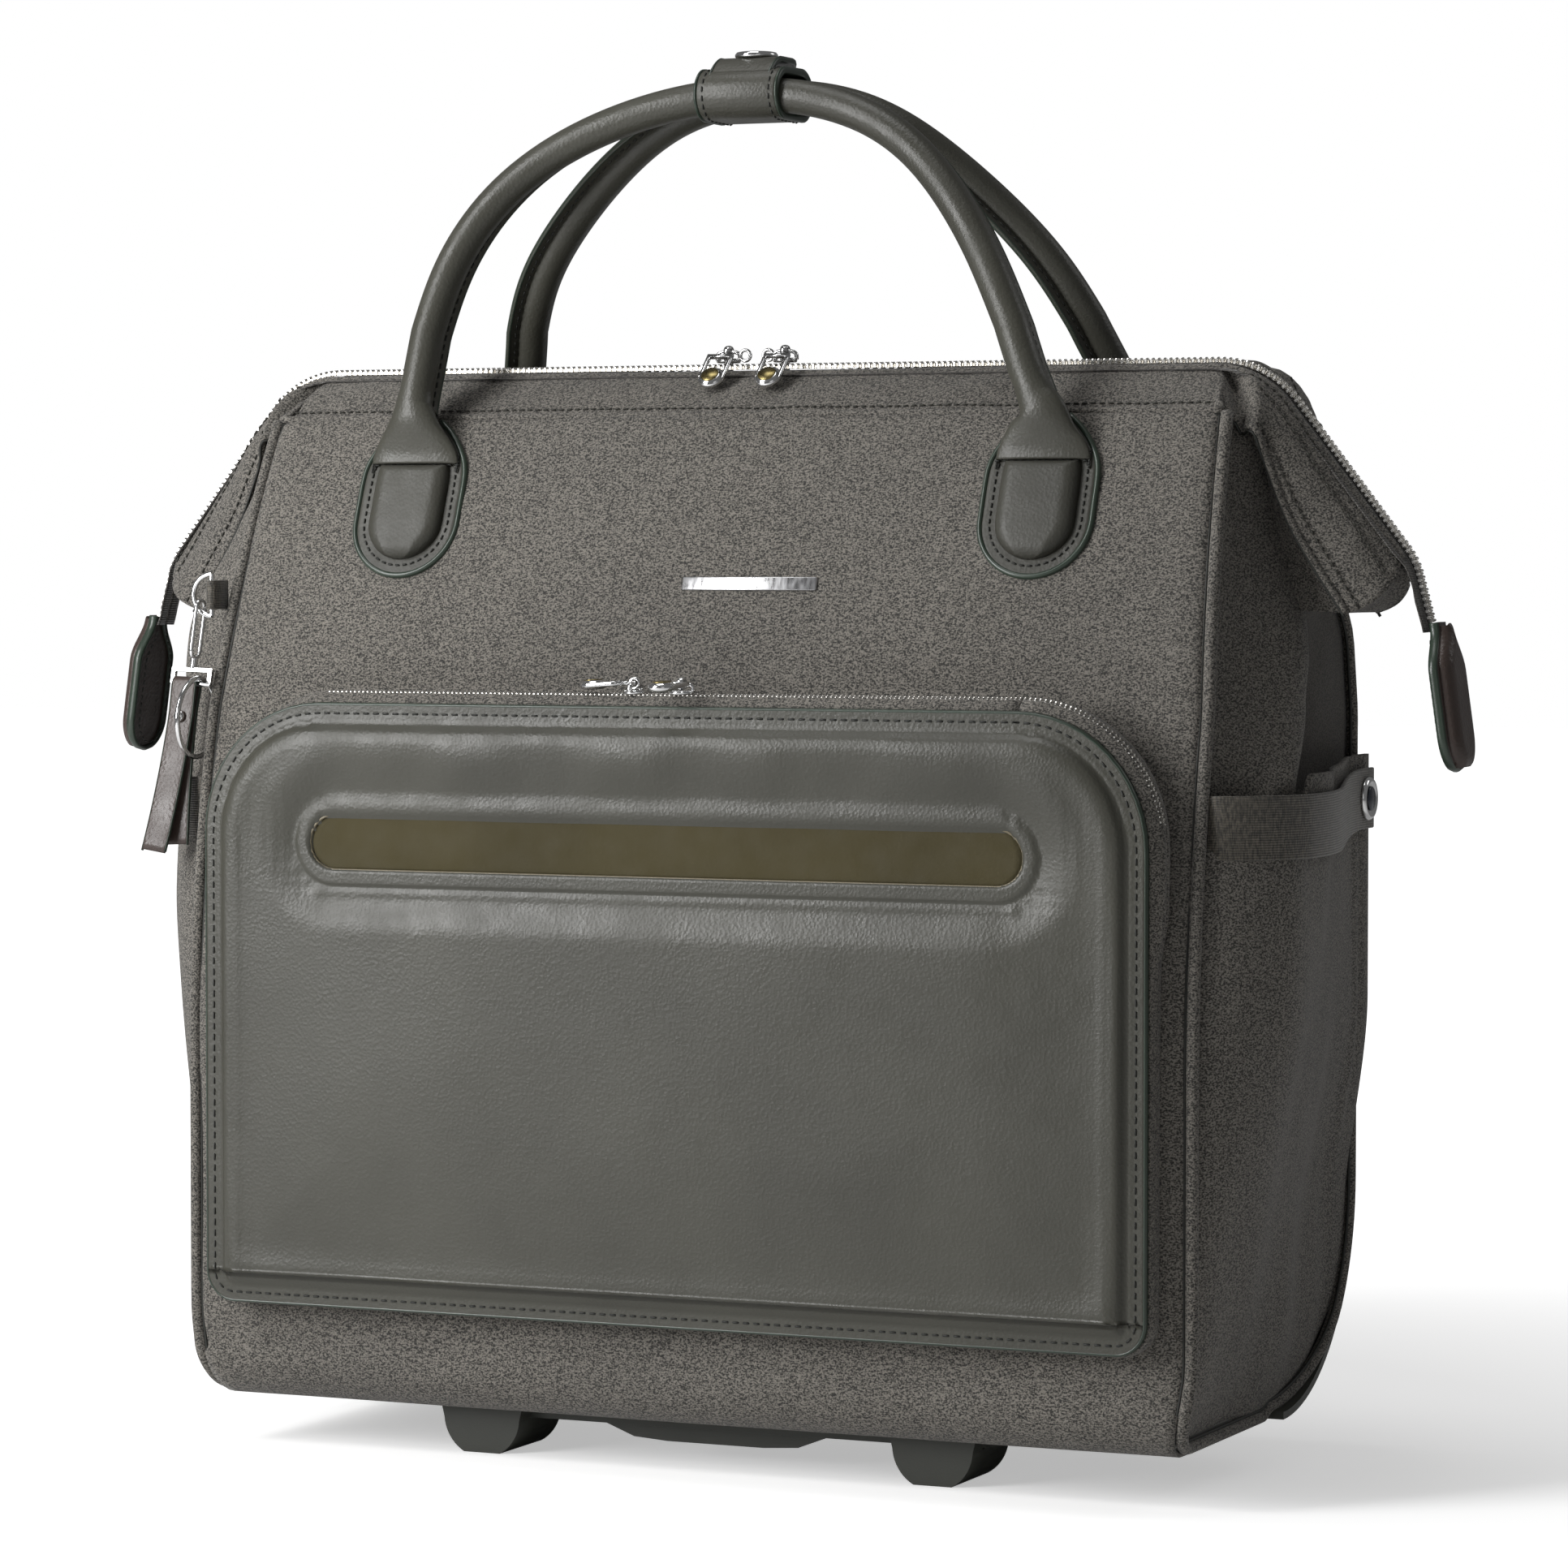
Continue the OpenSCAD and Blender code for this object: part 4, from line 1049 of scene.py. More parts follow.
def band_seams():
    """Stitch rows on bands and wings."""
    parts = []
    rows = [(-196, 196, 0.14), (-196, 196, 0.86)]
    for side in (-1, 1):
        rows.append((side * (BEND_X + 16), side * (WING_END - 2), 0.13))
        rows.append((side * (BEND_X + 22), side * (WING_END - 3), 0.34))
        rows.append((side * (BEND_X + 30), side * (WING_END - 3), 0.84))
    for band in BANDS:
        def outward(p, way=band[1]):
            if abs(p.x) < 205:
                return Vector((0, way * 0.75, 0.66))
            return Vector((0.45 * (1 if p.x > 0 else -1), way * 0.8, 0.3))

        for s0, s1, t in rows:
            n = max(8, int(abs(s1 - s0) / 3))
            line = [band_point(mix(s0, s1, k / n), t, *band) for k in range(n + 1)]
            parts.append(stitch_mesh(line, outward, 3.6, 2.4, 0.42, 0.3))
    add("band_stitching", join(*parts), PALE_THREAD, "bag")


def band_welt():
    """Rolled edge where the bands meet the front and rear panels and run round the wing's lower seam, with a dark cord
    under it as painted shade.
    """
    parts, lines = [], []
    for band in BANDS:
        path = [band_point(mix(-WING_END + 1, WING_END - 1, k / 220), 1.0, *band) for k in range(221)]
        parts.append(sweep(path, ellipse(1.6, 1.6, 8), up=(0, 0.3, 1)))
        # Thin dark cord in the crevice under the welt: painted shade along the lower seam.
        under = [p + Vector((0, band[1] * 0.9, -1.9)) for p in path]
        lines.append(sweep(under, ellipse(0.6, 0.6, 8), up=(0, 0.3, 1)))
    add("band_welt", join(*parts), CREPE, "bag")
    add("band_seam_painted_shade", join(*lines), THREAD, "bag")


# ---- front pocket ----

POCKET_HW = high("pocket_front").x
POCKET_LOW, POCKET_TOP = low("pocket_front").z, high("pocket_front").z
POCKET_R, POCKET_R2 = 52.0, 12.0
RIM_Y = high("pocket_front").y - 3
PAD = RIM_Y - low("pocket_front").y
SLOT_HW, SLOT_HH = 159.0, 17.0
SLOT_Z = (low("window_inset").z + high("window_inset").z) / 2
ZIP_Y = -92.0
ZIP_OUT = 3.8
POCKET_ZIP_START, POCKET_ZIP_L = -148.0, 372.0


def rounded_distance(x, z):
    """How far inside the pocket's outline a point is."""
    top = z > (POCKET_LOW + POCKET_TOP) / 2
    r = POCKET_R if top else POCKET_R2
    dx = abs(x) - (POCKET_HW - r)
    dz = (z - (POCKET_TOP - r)) if top else ((POCKET_LOW + r) - z)
    outside = hypot(max(dx, 0), max(dz, 0))
    return r - outside - min(max(dx, dz), 0) if max(dx, dz) > 0 else r - max(dx, dz)


def slot_distance(x, z):
    dx = max(abs(x) - (SLOT_HW - SLOT_HH), 0)
    return hypot(dx, z - SLOT_Z) - SLOT_HH


def pocket_relief(x, z):
    """Height of the moulded leather above its stitched rim."""
    inside = rounded_distance(x, z)
    edge = sqrt(clamp01(1 - (1 - clamp01((inside - 8.2) / 8.5)) ** 2))
    crown = 0.80 + 0.20 * smooth((inside - 10) / 60)
    d = slot_distance(x, z)
    if d < 0.4:
        lip = smooth((0.4 - d) / 1.0) * smooth((d + 6.6) / 1.0)
        return 0.9 + 1.1 * lip if d > -6.6 else -0.9
    around = smooth(d / 19.0) ** 0.75
    ridge = 0.35 * exp(-((inside - 6.2) / 0.8) ** 2)
    puff = PAD * crown + ripple((x, 0, z), 60, 0.6, 13.0)
    return 0.9 * (1 - smooth(d / 19.0)) + puff * edge * around + ridge


def pocket_cushion():
    """Height that the padded leather gains in a cloth simulation, sewn down along its rim and slot."""
    nu, nv = 84, 52
    height = POCKET_TOP - POCKET_LOW

    def fn(u, v):
        x, z = (u * 2 - 1) * POCKET_HW, POCKET_TOP - v * height
        return Vector((x, RIM_Y - pocket_relief(x, z), z))

    def hold(u, v, p):
        return 1.0 if rounded_distance(p.x, p.z) < 11 or slot_distance(p.x, p.z) < 4 else 0.05

    points, faces = open_sheet(fn, nu, nv)
    pinned = [hold(0, 0, p) for p in points]
    moves = relax(cloth_moves(points, faces, pinned, 2.0, 0.004, 2.4), nu, nv, 3)
    move = field([m * (1 - h) for m, h in zip(moves, pinned)], nu, nv)
    return lambda x, z: move((x / POCKET_HW + 1) / 2, (POCKET_TOP - z) / height).y


def pocket_rows():
    rows = []
    for k in range(31):
        a = radians(90 * k / 30)
        rows.append((POCKET_TOP - POCKET_R * (1 - cos(a)), POCKET_HW - POCKET_R + POCKET_R * sin(a)))
    z = rows[-1][0]
    while z > POCKET_LOW + POCKET_R2 + 1:
        z -= 0.7 if 226 < z < 270 else 2.0
        rows.append((z, POCKET_HW))
    for k in range(9):
        a = radians(90 * k / 8)
        rows.append((POCKET_LOW + POCKET_R2 - POCKET_R2 * sin(a), POCKET_HW - POCKET_R2 * (1 - cos(a))))
    return rows


def pocket_leather():
    rows = pocket_rows()
    cushion = pocket_cushion()
    cols = 330
    verts = []
    for z, w in rows:
        for i in range(cols + 1):
            x = (i / cols * 2 - 1) * w
            verts.append((x, RIM_Y - pocket_relief(x, z) + cushion(x, z), z))
    back = [(x, high("pocket_front").y, z) for x, _, z in verts]
    part = verts + back, sheet_faces(cols, len(rows) - 1)
    add("pocket_leather", part, LEATHER, "bag", ["pocket_front"])


def pocket_edge(s, inset):
    """Point on the pocket's outline at distance s from the top's middle, and its outward normal."""
    straight = POCKET_HW - POCKET_R
    side, s = (-1 if s < 0 else 1), abs(s)
    arc = POCKET_R * pi / 2
    if s <= straight:
        x, z, nx, nz = s, POCKET_TOP, 0.0, 1.0
    elif s <= straight + arc:
        a = (s - straight) / POCKET_R
        x, z = straight + POCKET_R * sin(a), POCKET_TOP - POCKET_R * (1 - cos(a))
        nx, nz = sin(a), cos(a)
    else:
        x, z, nx, nz = POCKET_HW, POCKET_TOP - POCKET_R - (s - straight - arc), 1.0, 0.0
    return Vector((side * (x + inset * nx), ZIP_Y, z + inset * nz)), Vector((side * nx, 0, nz))


def outline_path(inset):
    """Closed walk round the pocket's outline, inset from its edge, on the leather's rim."""
    pts = []
    w, top, bottom = POCKET_HW - inset, POCKET_TOP - inset, POCKET_LOW + inset
    r1, r2 = POCKET_R - inset, max(POCKET_R2 - inset, 2)
    corners = ((w - r1, top - r1, r1, 90), (w - r2, bottom + r2, r2, 0), (-w + r2, bottom + r2, r2, -90),
               (-w + r1, top - r1, r1, -180))
    for cx, cz, r, start in corners:
        for k in range(13):
            a = radians(start - 90 * k / 12)
            pts.append(Vector((cx + r * cos(a), 0, cz + r * sin(a))))
    pts.append(pts[0].copy())
    return pts


def pocket_details():
    """Painted edge, rim stitching, ring around the slot and the suede inset behind it."""
    mid = (RIM_Y + high("pocket_front").y) / 2
    edge = [Vector((p.x, mid, p.z)) for p in outline_path(0.1)[:-1]]
    add("pocket_painted_edge", sweep(edge, ellipse(0.8, 1.7, 10), up=(0, 1, 0), closed=True),
        EDGE, "bag")
    line = [Vector((p.x, RIM_Y, p.z)) for p in outline_path(3.6)]
    add("pocket_stitching", stitch_mesh(line, (0, -1, 0), 4.4, 3.0, 0.45, 0.0),
        THREAD, "bag")
    hw, hh = high("window_inset").x, (high("window_inset").z - low("window_inset").z) / 2
    ring = []
    for cx, start in ((hw - hh, 90), (-hw + hh, 270)):
        for k in range(17):
            a = radians(start - 180 * k / 16)
            ring.append(Vector((cx + hh * cos(a), RIM_Y - 0.7, SLOT_Z + hh * sin(a))))
    add("slot_painted_edge", sweep(ring, ellipse(0.55, 0.55, 8), up=(0, 1, 0), closed=True),
        SLOT_EDGE, "bag")

    def fn(u, v):
        z = SLOT_Z + (v * 2 - 1) * hh
        half = hw - hh + root(hh ** 2 - (z - SLOT_Z) ** 2)
        return Vector(((u * 2 - 1) * half, RIM_Y - 0.15 + ripple((u * 300, 0, z), 40, 0.15), z))

    add("suede_window", shell(fn, 80, 16, 0.6), SUEDE, "bag", ["window_inset"])


def pocket_swell(p):
    """How far the pocket's wall stands out beyond the leather: full along the zip, slight elsewhere."""
    zipped = smooth((p.z - 205) / 25) * smooth((p.x + 175) / 25) if p.x < 0 else smooth((p.z - 205) / 25)
    return mix(0.8, 4.6, zipped)


def pocket_side():
    """Fabric wall of the pocket between the bag and the leather, with the zip let into its crest."""
    loop = [Vector((p.x, 0, p.z)) for p in outline_path(1.6)[:-1]]
    dense = []
    for a, b in zip(loop, loop[1:] + loop[:1]):
        steps = max(1, int((b - a).length / 6))
        dense += [mix(a, b, k / steps) for k in range(steps)]
    loop = dense
    n = len(loop)
    centre = Vector((0, 0, 180))
    front_end = high("pocket_front").y

    def outward(i):
        d = (loop[(i + 1) % n] - loop[i - 1]).normalized()
        out = Vector((-d.z, 0, d.x))
        return out if out.dot(loop[i % n] - centre) > 0 else -out

    def fn(u, v):
        i = round(u * n) % n
        p, out = loop[i], outward(i)
        face = front_y(p.z) - 0.3
        if v < 0.6:
            t = v / 0.6
            y, grow = mix(face, ZIP_Y, t), pocket_swell(p) * sin(pi / 2 * t)
        else:
            t = (v - 0.6) / 0.4
            y, grow = mix(ZIP_Y, front_end + 0.4, t), pocket_swell(p) * cos(pi / 2 * t * 0.97)
        groove = 0.8 * exp(-((v - 0.6) / 0.05) ** 2) * smooth((pocket_swell(p) - 2) / 2)
        return Vector((p.x, y, p.z)) + out * (1.4 + grow - groove)

    add("pocket_side_fabric", shell(fn, n, 20, 1.2), CREPE, "bag", ["pocket_gusset"])
    parts = []
    for way in (-1, 1):
        def tape(u, v, way=way):
            s = POCKET_ZIP_START + u * POCKET_ZIP_L
            p, out = pocket_edge(s, ZIP_OUT)
            p.y = ZIP_Y + way * mix(0.4, 3.0, v)
            return p + out * (0.35 - 0.5 * v)
        parts.append(shell(tape, 150, 3, 0.6 * -way))
    add("pocket_zip_tape", join(*parts), TAPE, "bag")


# ---- carry handles ----

HANDLE_R = 6.9
ARCH_R, SHOULDER_R = 150.0, 70.0
ARCH_A, SHOULDER_A = radians(55), radians(86)
WRAP_Y = 8.0
FEET = {"front": Vector((0, -47, 405)), "back": Vector((0, 66.6, 408))}
HANDLE_TOP = high("carry_handle_front").z - HANDLE_R + 0.3


def arch_points(rise):
    """Half of the arch from its top to its foot, as (x, height) in its own plane."""
    c1 = rise - ARCH_R
    cx = (ARCH_R - SHOULDER_R) * sin(ARCH_A)
    cz = c1 + (ARCH_R - SHOULDER_R) * cos(ARCH_A)
    pts = [(ARCH_R * sin(ARCH_A * k / 30), c1 + ARCH_R * cos(ARCH_A * k / 30)) for k in range(31)]
    for k in range(1, 13):
        a = mix(ARCH_A, SHOULDER_A, k / 12)
        pts.append((cx + SHOULDER_R * sin(a), cz + SHOULDER_R * cos(a)))
    x, z = pts[-1]
    lean = pi / 2 - SHOULDER_A
    while z > 24:
        z -= 6
        x += 6 * tan(lean)
        pts.append((x, z))
    return pts


def patch_frame(which):
    """Matrix of a handle patch about its middle: X right, Y up along the face, Z out of it."""
    x = (low("handle_patches").x + 20.5) * -1
    if which == "front":
        z = 378.0
        lean = asin((z - LEAN_Z) / FRONT_R)
        up = Vector((0, sin(lean), cos(lean)))
        out = Vector((0, -cos(lean), sin(lean)))
        at = Vector((x, front_y(z), z))
    else:
        lean = atan2(BACK - BACK_SEAM[0], BACK_SEAM[1] - SHOULDER_Z)
        up = Vector((0, -sin(lean), cos(lean)))
        out = Vector((0, cos(lean), sin(lean)))
        at = Vector((x, BACK, SHOULDER_Z)) + up * 60
    return axes(up.cross(out), up, out, at)


# How far each leg has taken a set sideways: height, right leg, left leg.
HANDLE_SET = {
    "front": ((405, 0, 0), (422, -3, 0), (436, -9, 0), (451, -14.5, 0), (467, -20, 0), (487, -21, -3.5),
              (500, -19, -7), (516, -15, -10), (528, -10, -9.5), (538, -6.5, -7.5), (548.5, -4, -4)),
    "back": ((405, 0, 0), (422, -2, 1), (436, -6, 3), (451, -11, 6), (467, -16, 9), (487, -19, 12),
             (500, -20, 14), (516, -19, 14), (528, -15, 12), (538, -8, 7), (548.5, 0, 0)),
}


def rounded(path, ends, rounds):
    """The same walk with its kinks eased out; the points near both ends stay where they are."""
    pts = [p.copy() for p in path]
    for _ in range(rounds):
        last = [p.copy() for p in pts]
        for i in range(ends, len(pts) - ends):
            pts[i] = last[i] * 0.5 + (last[i - 1] + last[i + 1]) * 0.25
    return pts


def handle_tube(which):
    foot = FEET[which]
    side = -1 if which == "front" else 1
    top = Vector((0, side * WRAP_Y, HANDLE_TOP))
    rise = (top - foot).length
    up = (top - foot).normalized()
    half = [foot + up * h + Vector((x, 0, 0)) for x, h in arch_points(rise)]
    m = patch_frame(which)
    legs = []
    for leg in (1, -1):
        pts = []
        for p in half:
            lean = curve(HANDLE_SET[which], p.z)
            pts.append(Vector((p.x + (lean[0] if leg > 0 else -lean[1]), p.y, p.z)))
        knots = [pts[-3], pts[-2], pts[-1]]
        knots += [m @ Vector((0, y, out)) for y, out in ((38, 12.0), (31, 8.2), (26, 5.6), (21.4, 4.0))]
        keys = tuple((k, *p) for k, p in enumerate(knots))
        pts += [curve(keys, 2 + k / 4) for k in range(1, 17)]
        legs.append([Vector((leg * p.x, p.y, p.z)) for p in pts])
    path = rounded(list(reversed(legs[1][1:])) + legs[0], 22, 36)
    lengths = [0.0]
    for a, b in zip(path, path[1:]):
        lengths.append(lengths[-1] + (b - a).length)
    total = lengths[-1]

    def profile(share):
        i = round(share * (len(path) - 1))
        d = min(lengths[i], total - lengths[i])
        flare = 1 - smooth(d / 34)
        a = mix(HANDLE_R, 19.6, flare ** 1.6)
        b = mix(HANDLE_R, 2.6, flare ** 1.1)
        return ellipse(a, b, 28)

    facing = Vector((0, side, 0))
    part = sweep(path, profile, up=lambda i: facing)
    body = which + "_handle"
    tube = add("handle_roll_" + which, part, LEATHER, body, ["carry_handle_" + which], ride=False)
    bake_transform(tube)
    turned = Vector((-0.62 if which == "back" else 0.45, -side, 0)).normalized()
    flanges, edges, rows = [], [], []
    for part in (path[:len(path) // 2], path[len(path) // 2:]):
        run = [p for p in part if foot.z + 16 < p.z < HANDLE_TOP - 9]
        outs = []
        for i in range(len(run)):
            tangent = (run[min(i + 1, len(run) - 1)] - run[max(i - 1, 0)]).normalized()
            outs.append((turned - tangent * turned.dot(tangent)).normalized())
        line = [p + d * (HANDLE_R + 1.7) for p, d in zip(run, outs)]
        rim = [p + d * (HANDLE_R + 4.2) for p, d in zip(run, outs)]
        flanges.append(sweep(line, rounded_rect(2.4, 6.4, 0.6), up=lambda i, o=outs: o[i]))
        edges.append(sweep(rim, ellipse(1.4, 0.8, 8), up=lambda i, o=outs: o[i]))
        for way in (-1, 1):
            across = [d.cross((run[min(i + 1, len(run) - 1)] - run[max(i - 1, 0)]).normalized()) * way for i, d in enumerate(outs)]
            seam = [p + d * (HANDLE_R + 1.6) + a * 1.25 for p, d, a in zip(run, outs, across)]
            rows.append(stitch_mesh(seam, lambda p, s=seam, a=across: a[min(range(len(s)), key=lambda k: (s[k] - p).length)],
                                    4.0, 2.7, 0.42, 0.0))
    add("handle_flange_" + which, join(*flanges), LEATHER, body)
    add("handle_flange_edge_" + which, join(*edges), EDGE, body)
    add("handle_stitching_" + which, join(*rows), THREAD, body)


PATCH_R, PATCH_LOW, PATCH_TOP, CROSS_Y = 23.0, -26.5, 41.0, 21.5
PATCH_SIDE = ((10, 23.0, 0), (18, 22.6, 0), (24, 20.8, 0), (31, 16.8, 0), (36, 12.6, 0), (PATCH_TOP, 7.5, 0))


def patch_half_width(y):
    """Half-width of the patch at height y of its own frame: a half round below, shoulders above."""
    if y < PATCH_LOW + PATCH_R:
        return root(PATCH_R ** 2 - (PATCH_LOW + PATCH_R - y) ** 2)
    return curve(PATCH_SIDE, y)[0] if y > 10 else PATCH_R


def patch_outline(inset, y_end):
    """Half of the patch's outline from its lowest point up, inset from its edge."""
    pts = []
    r = PATCH_R - inset
    for k in range(25):
        a = radians(-90 + 90 * k / 24)
        pts.append((r * cos(a), PATCH_LOW + PATCH_R + r * sin(a)))
    y = 0.0
    while y < y_end:
        pts.append((patch_half_width(y) - inset, y))
        y += 1.5
    return pts


def handle_patch(which, side):
    m = patch_frame(which)
    base = 1.4

    def fn(u, v):
        y = mix(PATCH_LOW, PATCH_TOP, 1 - cos(pi / 2 * v))
        return Vector(((u * 2 - 1) * max(0.05, patch_half_width(y)), y, base + 1.6))

    plate = shell(fn, 20, 44, 2.2)

    def pad(u, v):
        y0, y1 = PATCH_LOW + 6.6, CROSS_Y - 0.8
        y = mix(y0, y1, (1 - cos(pi * v)) / 2)
        w = max(0.2, min(patch_half_width(y) - 6.4, sqrt(max(0.04, 17.0 ** 2 - max(0.0, y0 + 17.0 - y) ** 2))))
        x = (u * 2 - 1) * w
        rise = min((w - abs(x)) / 6.5, (y - y0) / 6.5 + 0.03, (y1 - y) / 4.0 + 0.03)
        bulge = root(1 - (1 - clamp01(rise)) ** 2)
        return Vector((x, y, base + 1.4 + 4.6 * bulge + 0.8 * cos(x / 17) * cos(y / 26) * bulge))

    cushion = shell(pad, 34, 44, 1.2)
    half = patch_outline(-0.1, PATCH_TOP)
    ring = [Vector((-x, y, base + 0.9)) for x, y in reversed(half[1:])] + [Vector((x, y, base + 0.9)) for x, y in half]
    edge = sweep(ring, ellipse(1.2, 1.5, 10), up=(0, 0, 1))
    line = patch_outline(4.0, 37)
    row = [Vector((-x, y, base + 1.75)) for x, y in reversed(line[1:])] + [Vector((x, y, base + 1.75)) for x, y in line]
    thread_line = stitch_mesh(row, (0, 0, 1), 3.3, 2.2, 0.45, 0.0)
    cross = []
    for k in range(2):
        y = CROSS_Y + 0.6 - 1.3 * k
        cross.append(stitch_mesh([Vector((-19, y, base + 2.3)), Vector((19, y, base + 2.3))], (0, 0, 1), 3.3, 2.2, 0.42, 0.1))
    for corner in (-1, 1):
        at = [Vector((corner * 19.2, CROSS_Y + dy, base + 2.2)) for dy in (-3.2, 4.5)]
        cross.append(stitch_mesh(at, (0, 0, 1), 1.3, 1.6, 0.5, 0.1))
    name = which + ("_right" if side > 0 else "_left")

    def put(part):
        moved = placed(part, m)
        return moved if side > 0 else flipped(moved)

    # Patch plate and pad use the darker leather copy: painted shade.
    obj = add("patch_leather_" + name, put(join(plate, cushion)), PAD_LEATHER_SHADED, "bag")
    add("patch_edge_" + name, put(edge), EDGE, "bag")
    add("patch_stitching_" + name, put(join(thread_line, *cross)), THREAD, "bag")
    return obj


def carry_handles():
    for which in ("front", "back"):
        handle_tube(which)
        for side in (-1, 1):
            handle_patch(which, side)
    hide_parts("handle_patches")


def wrap_loop(grow):
    """Closed walk around both handles in the YZ plane: snug at the front, roomier behind."""
    z = high("handle_wrap").z - 12.6
    r1, r2 = HANDLE_R + 0.8 + grow, HANDLE_R + 1.0 + grow
    pts = []
    for k in range(17):
        a = radians(90 + 180 * k / 16)
        pts.append((-WRAP_Y + r1 * cos(a), z + r1 * sin(a)))
    for k in range(17):
        a = radians(-90 + 180 * k / 16)
        pts.append((WRAP_Y + r2 * cos(a), z + r2 * sin(a)))
    dense = []
    for a, b in zip(pts, pts[1:] + pts[:1]):
        dense += [mix(Vector(a), Vector(b), k / 3) for k in range(3)]
    return dense


def handle_wrap():
    """Leather strap round both handles with painted edges and two rows of stitches."""
    x0, x1 = low("handle_wrap").x, high("handle_wrap").x
    mid, wide, thick = (x0 + x1) / 2, x1 - x0, 2.6

    def loop(grow, x):
        return [Vector((x, p[0], p[1])) for p in wrap_loop(grow)]

    part = sweep(loop(thick / 2, mid), rounded_rect(wide - 1.0, thick, 1.1), up=lambda i: (0, *(
        (wrap_loop(3)[(i - 1) % len(wrap_loop(3))] - wrap_loop(0)[(i - 1) % len(wrap_loop(0))]).normalized())), closed=True)
    add("wrap_leather", part, LEATHER, "wrap", ["handle_wrap"])
    parts, rows = [], []
    outer = wrap_loop(thick)
    for x, way in ((x0, 1), (x1, -1)):
        parts.append(sweep(loop(thick / 2, x + way * 0.3), ellipse(0.9, 1.75, 10), up=lambda i: (0, *(
            (wrap_loop(3)[(i - 1) % len(outer)] - wrap_loop(0)[(i - 1) % len(outer)]).normalized())), closed=True))
        line = [Vector((x + way * 3.4, p[0], p[1])) for p in outer]
        rows.append(stitch_mesh(line + line[:1], lambda p: (0, p.y, (p.z - HANDLE_TOP) * 2), 3.6, 2.5, 0.42, 0.0))
    add("wrap_painted_edges", join(*parts), EDGE, "wrap")
    add("wrap_stitching", join(*rows), THREAD, "wrap")


def snap_cap(r):
    """Cap of a snap button with a raised ring."""
    return lathe([(0, 0), (r - 0.6, 0), (r, 0.5), (r, 1.4), (r - 0.7, 2.3), (r - 1.6, 2.5), (r - 2.3, 2.2),
                  (r - 2.8, 1.9), (r * 0.4, 2.0), (0, 2.05)])


def wrap_flap():
    """Tongue of the wrap, rounded at its rear end, under the snap."""
    z0 = low("wrap_flap").z
    snap = Vector(((low("snap_cap").x + high("snap_cap").x) / 2, (low("snap_cap").y + high("snap_cap").y) / 2, 0))
    y0, y1 = low("wrap_flap").y - 5.5, high("wrap_flap").y
    r = (high("wrap_flap").x - low("wrap_flap").x) / 2

    def width(y):
        start = y1 - r
        return r if y < start else root(r * r - (y - start) ** 2)

    def droop(y):
        return 2.6 * smooth((y - 8) / 14) ** 1.4 + 8.0 * clamp01((-2 - y) / 12.5) ** 1.8

    def fn(u, v):
        y = mix(y0, y1, sin(pi / 2 * v))
        x = snap.x + (u * 2 - 1) * width(y)
        return Vector((x, y, z0 + 2.2 - droop(y)))

    add("flap_leather", shell(fn, 20, 34, 2.2), LEATHER, "flap", ["wrap_flap"])
    rim = []
    for k in range(61):
        y = mix(y0, y1, sin(pi / 2 * k / 60))
        rim.append(Vector((snap.x + width(y), y, z0 + 1.1 - droop(y))))
    rim += [Vector((2 * snap.x - p.x, p.y, p.z)) for p in reversed(rim[:-1])]
    add("flap_painted_edge", sweep(rim, ellipse(0.7, 1.35, 8), up=(0, 0, 1)), EDGE, "flap")
    r = (high("snap_cap").x - low("snap_cap").x) / 2
    z1 = z0 + 2.2
    add("snap_button", placed(snap_cap(r), Matrix.Translation((snap.x, snap.y, z1))),
        CHROME, "flap", ["snap_cap"])


# ---- sliders and pulls ----

def slider_body(high_t, rise):
    """Slider: two shield-shaped plates around the chain and a bridge for the pull."""
    plate = []
    for z, grow in ((0.0, 0.0), (0.5, 0.5), (1.3, 0.5), (1.8, -0.3)):
        ring = []
        for k in range(28):
            a = 2 * pi * k / 28
            x = (5.2 + grow) * cos(a)
            y = (4.3 + grow - 0.12 * max(x, 0)) * sin(a)
            ring.append((copysign(abs(x) ** 0.92, x), y, z))
        plate.append(ring)
    verts = [Vector(p) for ring in plate for p in ring]
    faces = grid_faces(28, 3, wrap=True) + [tuple(range(27, -1, -1)), tuple(range(84, 112))]
    top = placed((verts, faces), Matrix.Translation((0, 0, high_t + 0.3)))
    bottom = placed((verts, faces), Matrix.Translation((0, 0, -3.0)))
    stem = sweep([(0, 0, -2), (0, 0, high_t + 1)], rounded_rect(4, 0.7, 0.3), up=(0, 1, 0))
    bar = high_t + 1.8 + rise
    arc = [Vector((5.0 * cos(radians(a)), 0, bar - 2.4 + 2.6 * sin(radians(a)) ** 0.6))
           for a in range(180, -1, -10)]
    legs = [Vector((-5.0, 0, high_t + 1.4))] + arc + [Vector((5.0, 0, high_t + 1.4))]
    bridge = sweep(legs, ellipse(0.8, 1.1, 10), up=(0, 1, 0))
    return join(top, bottom, stem, bridge)


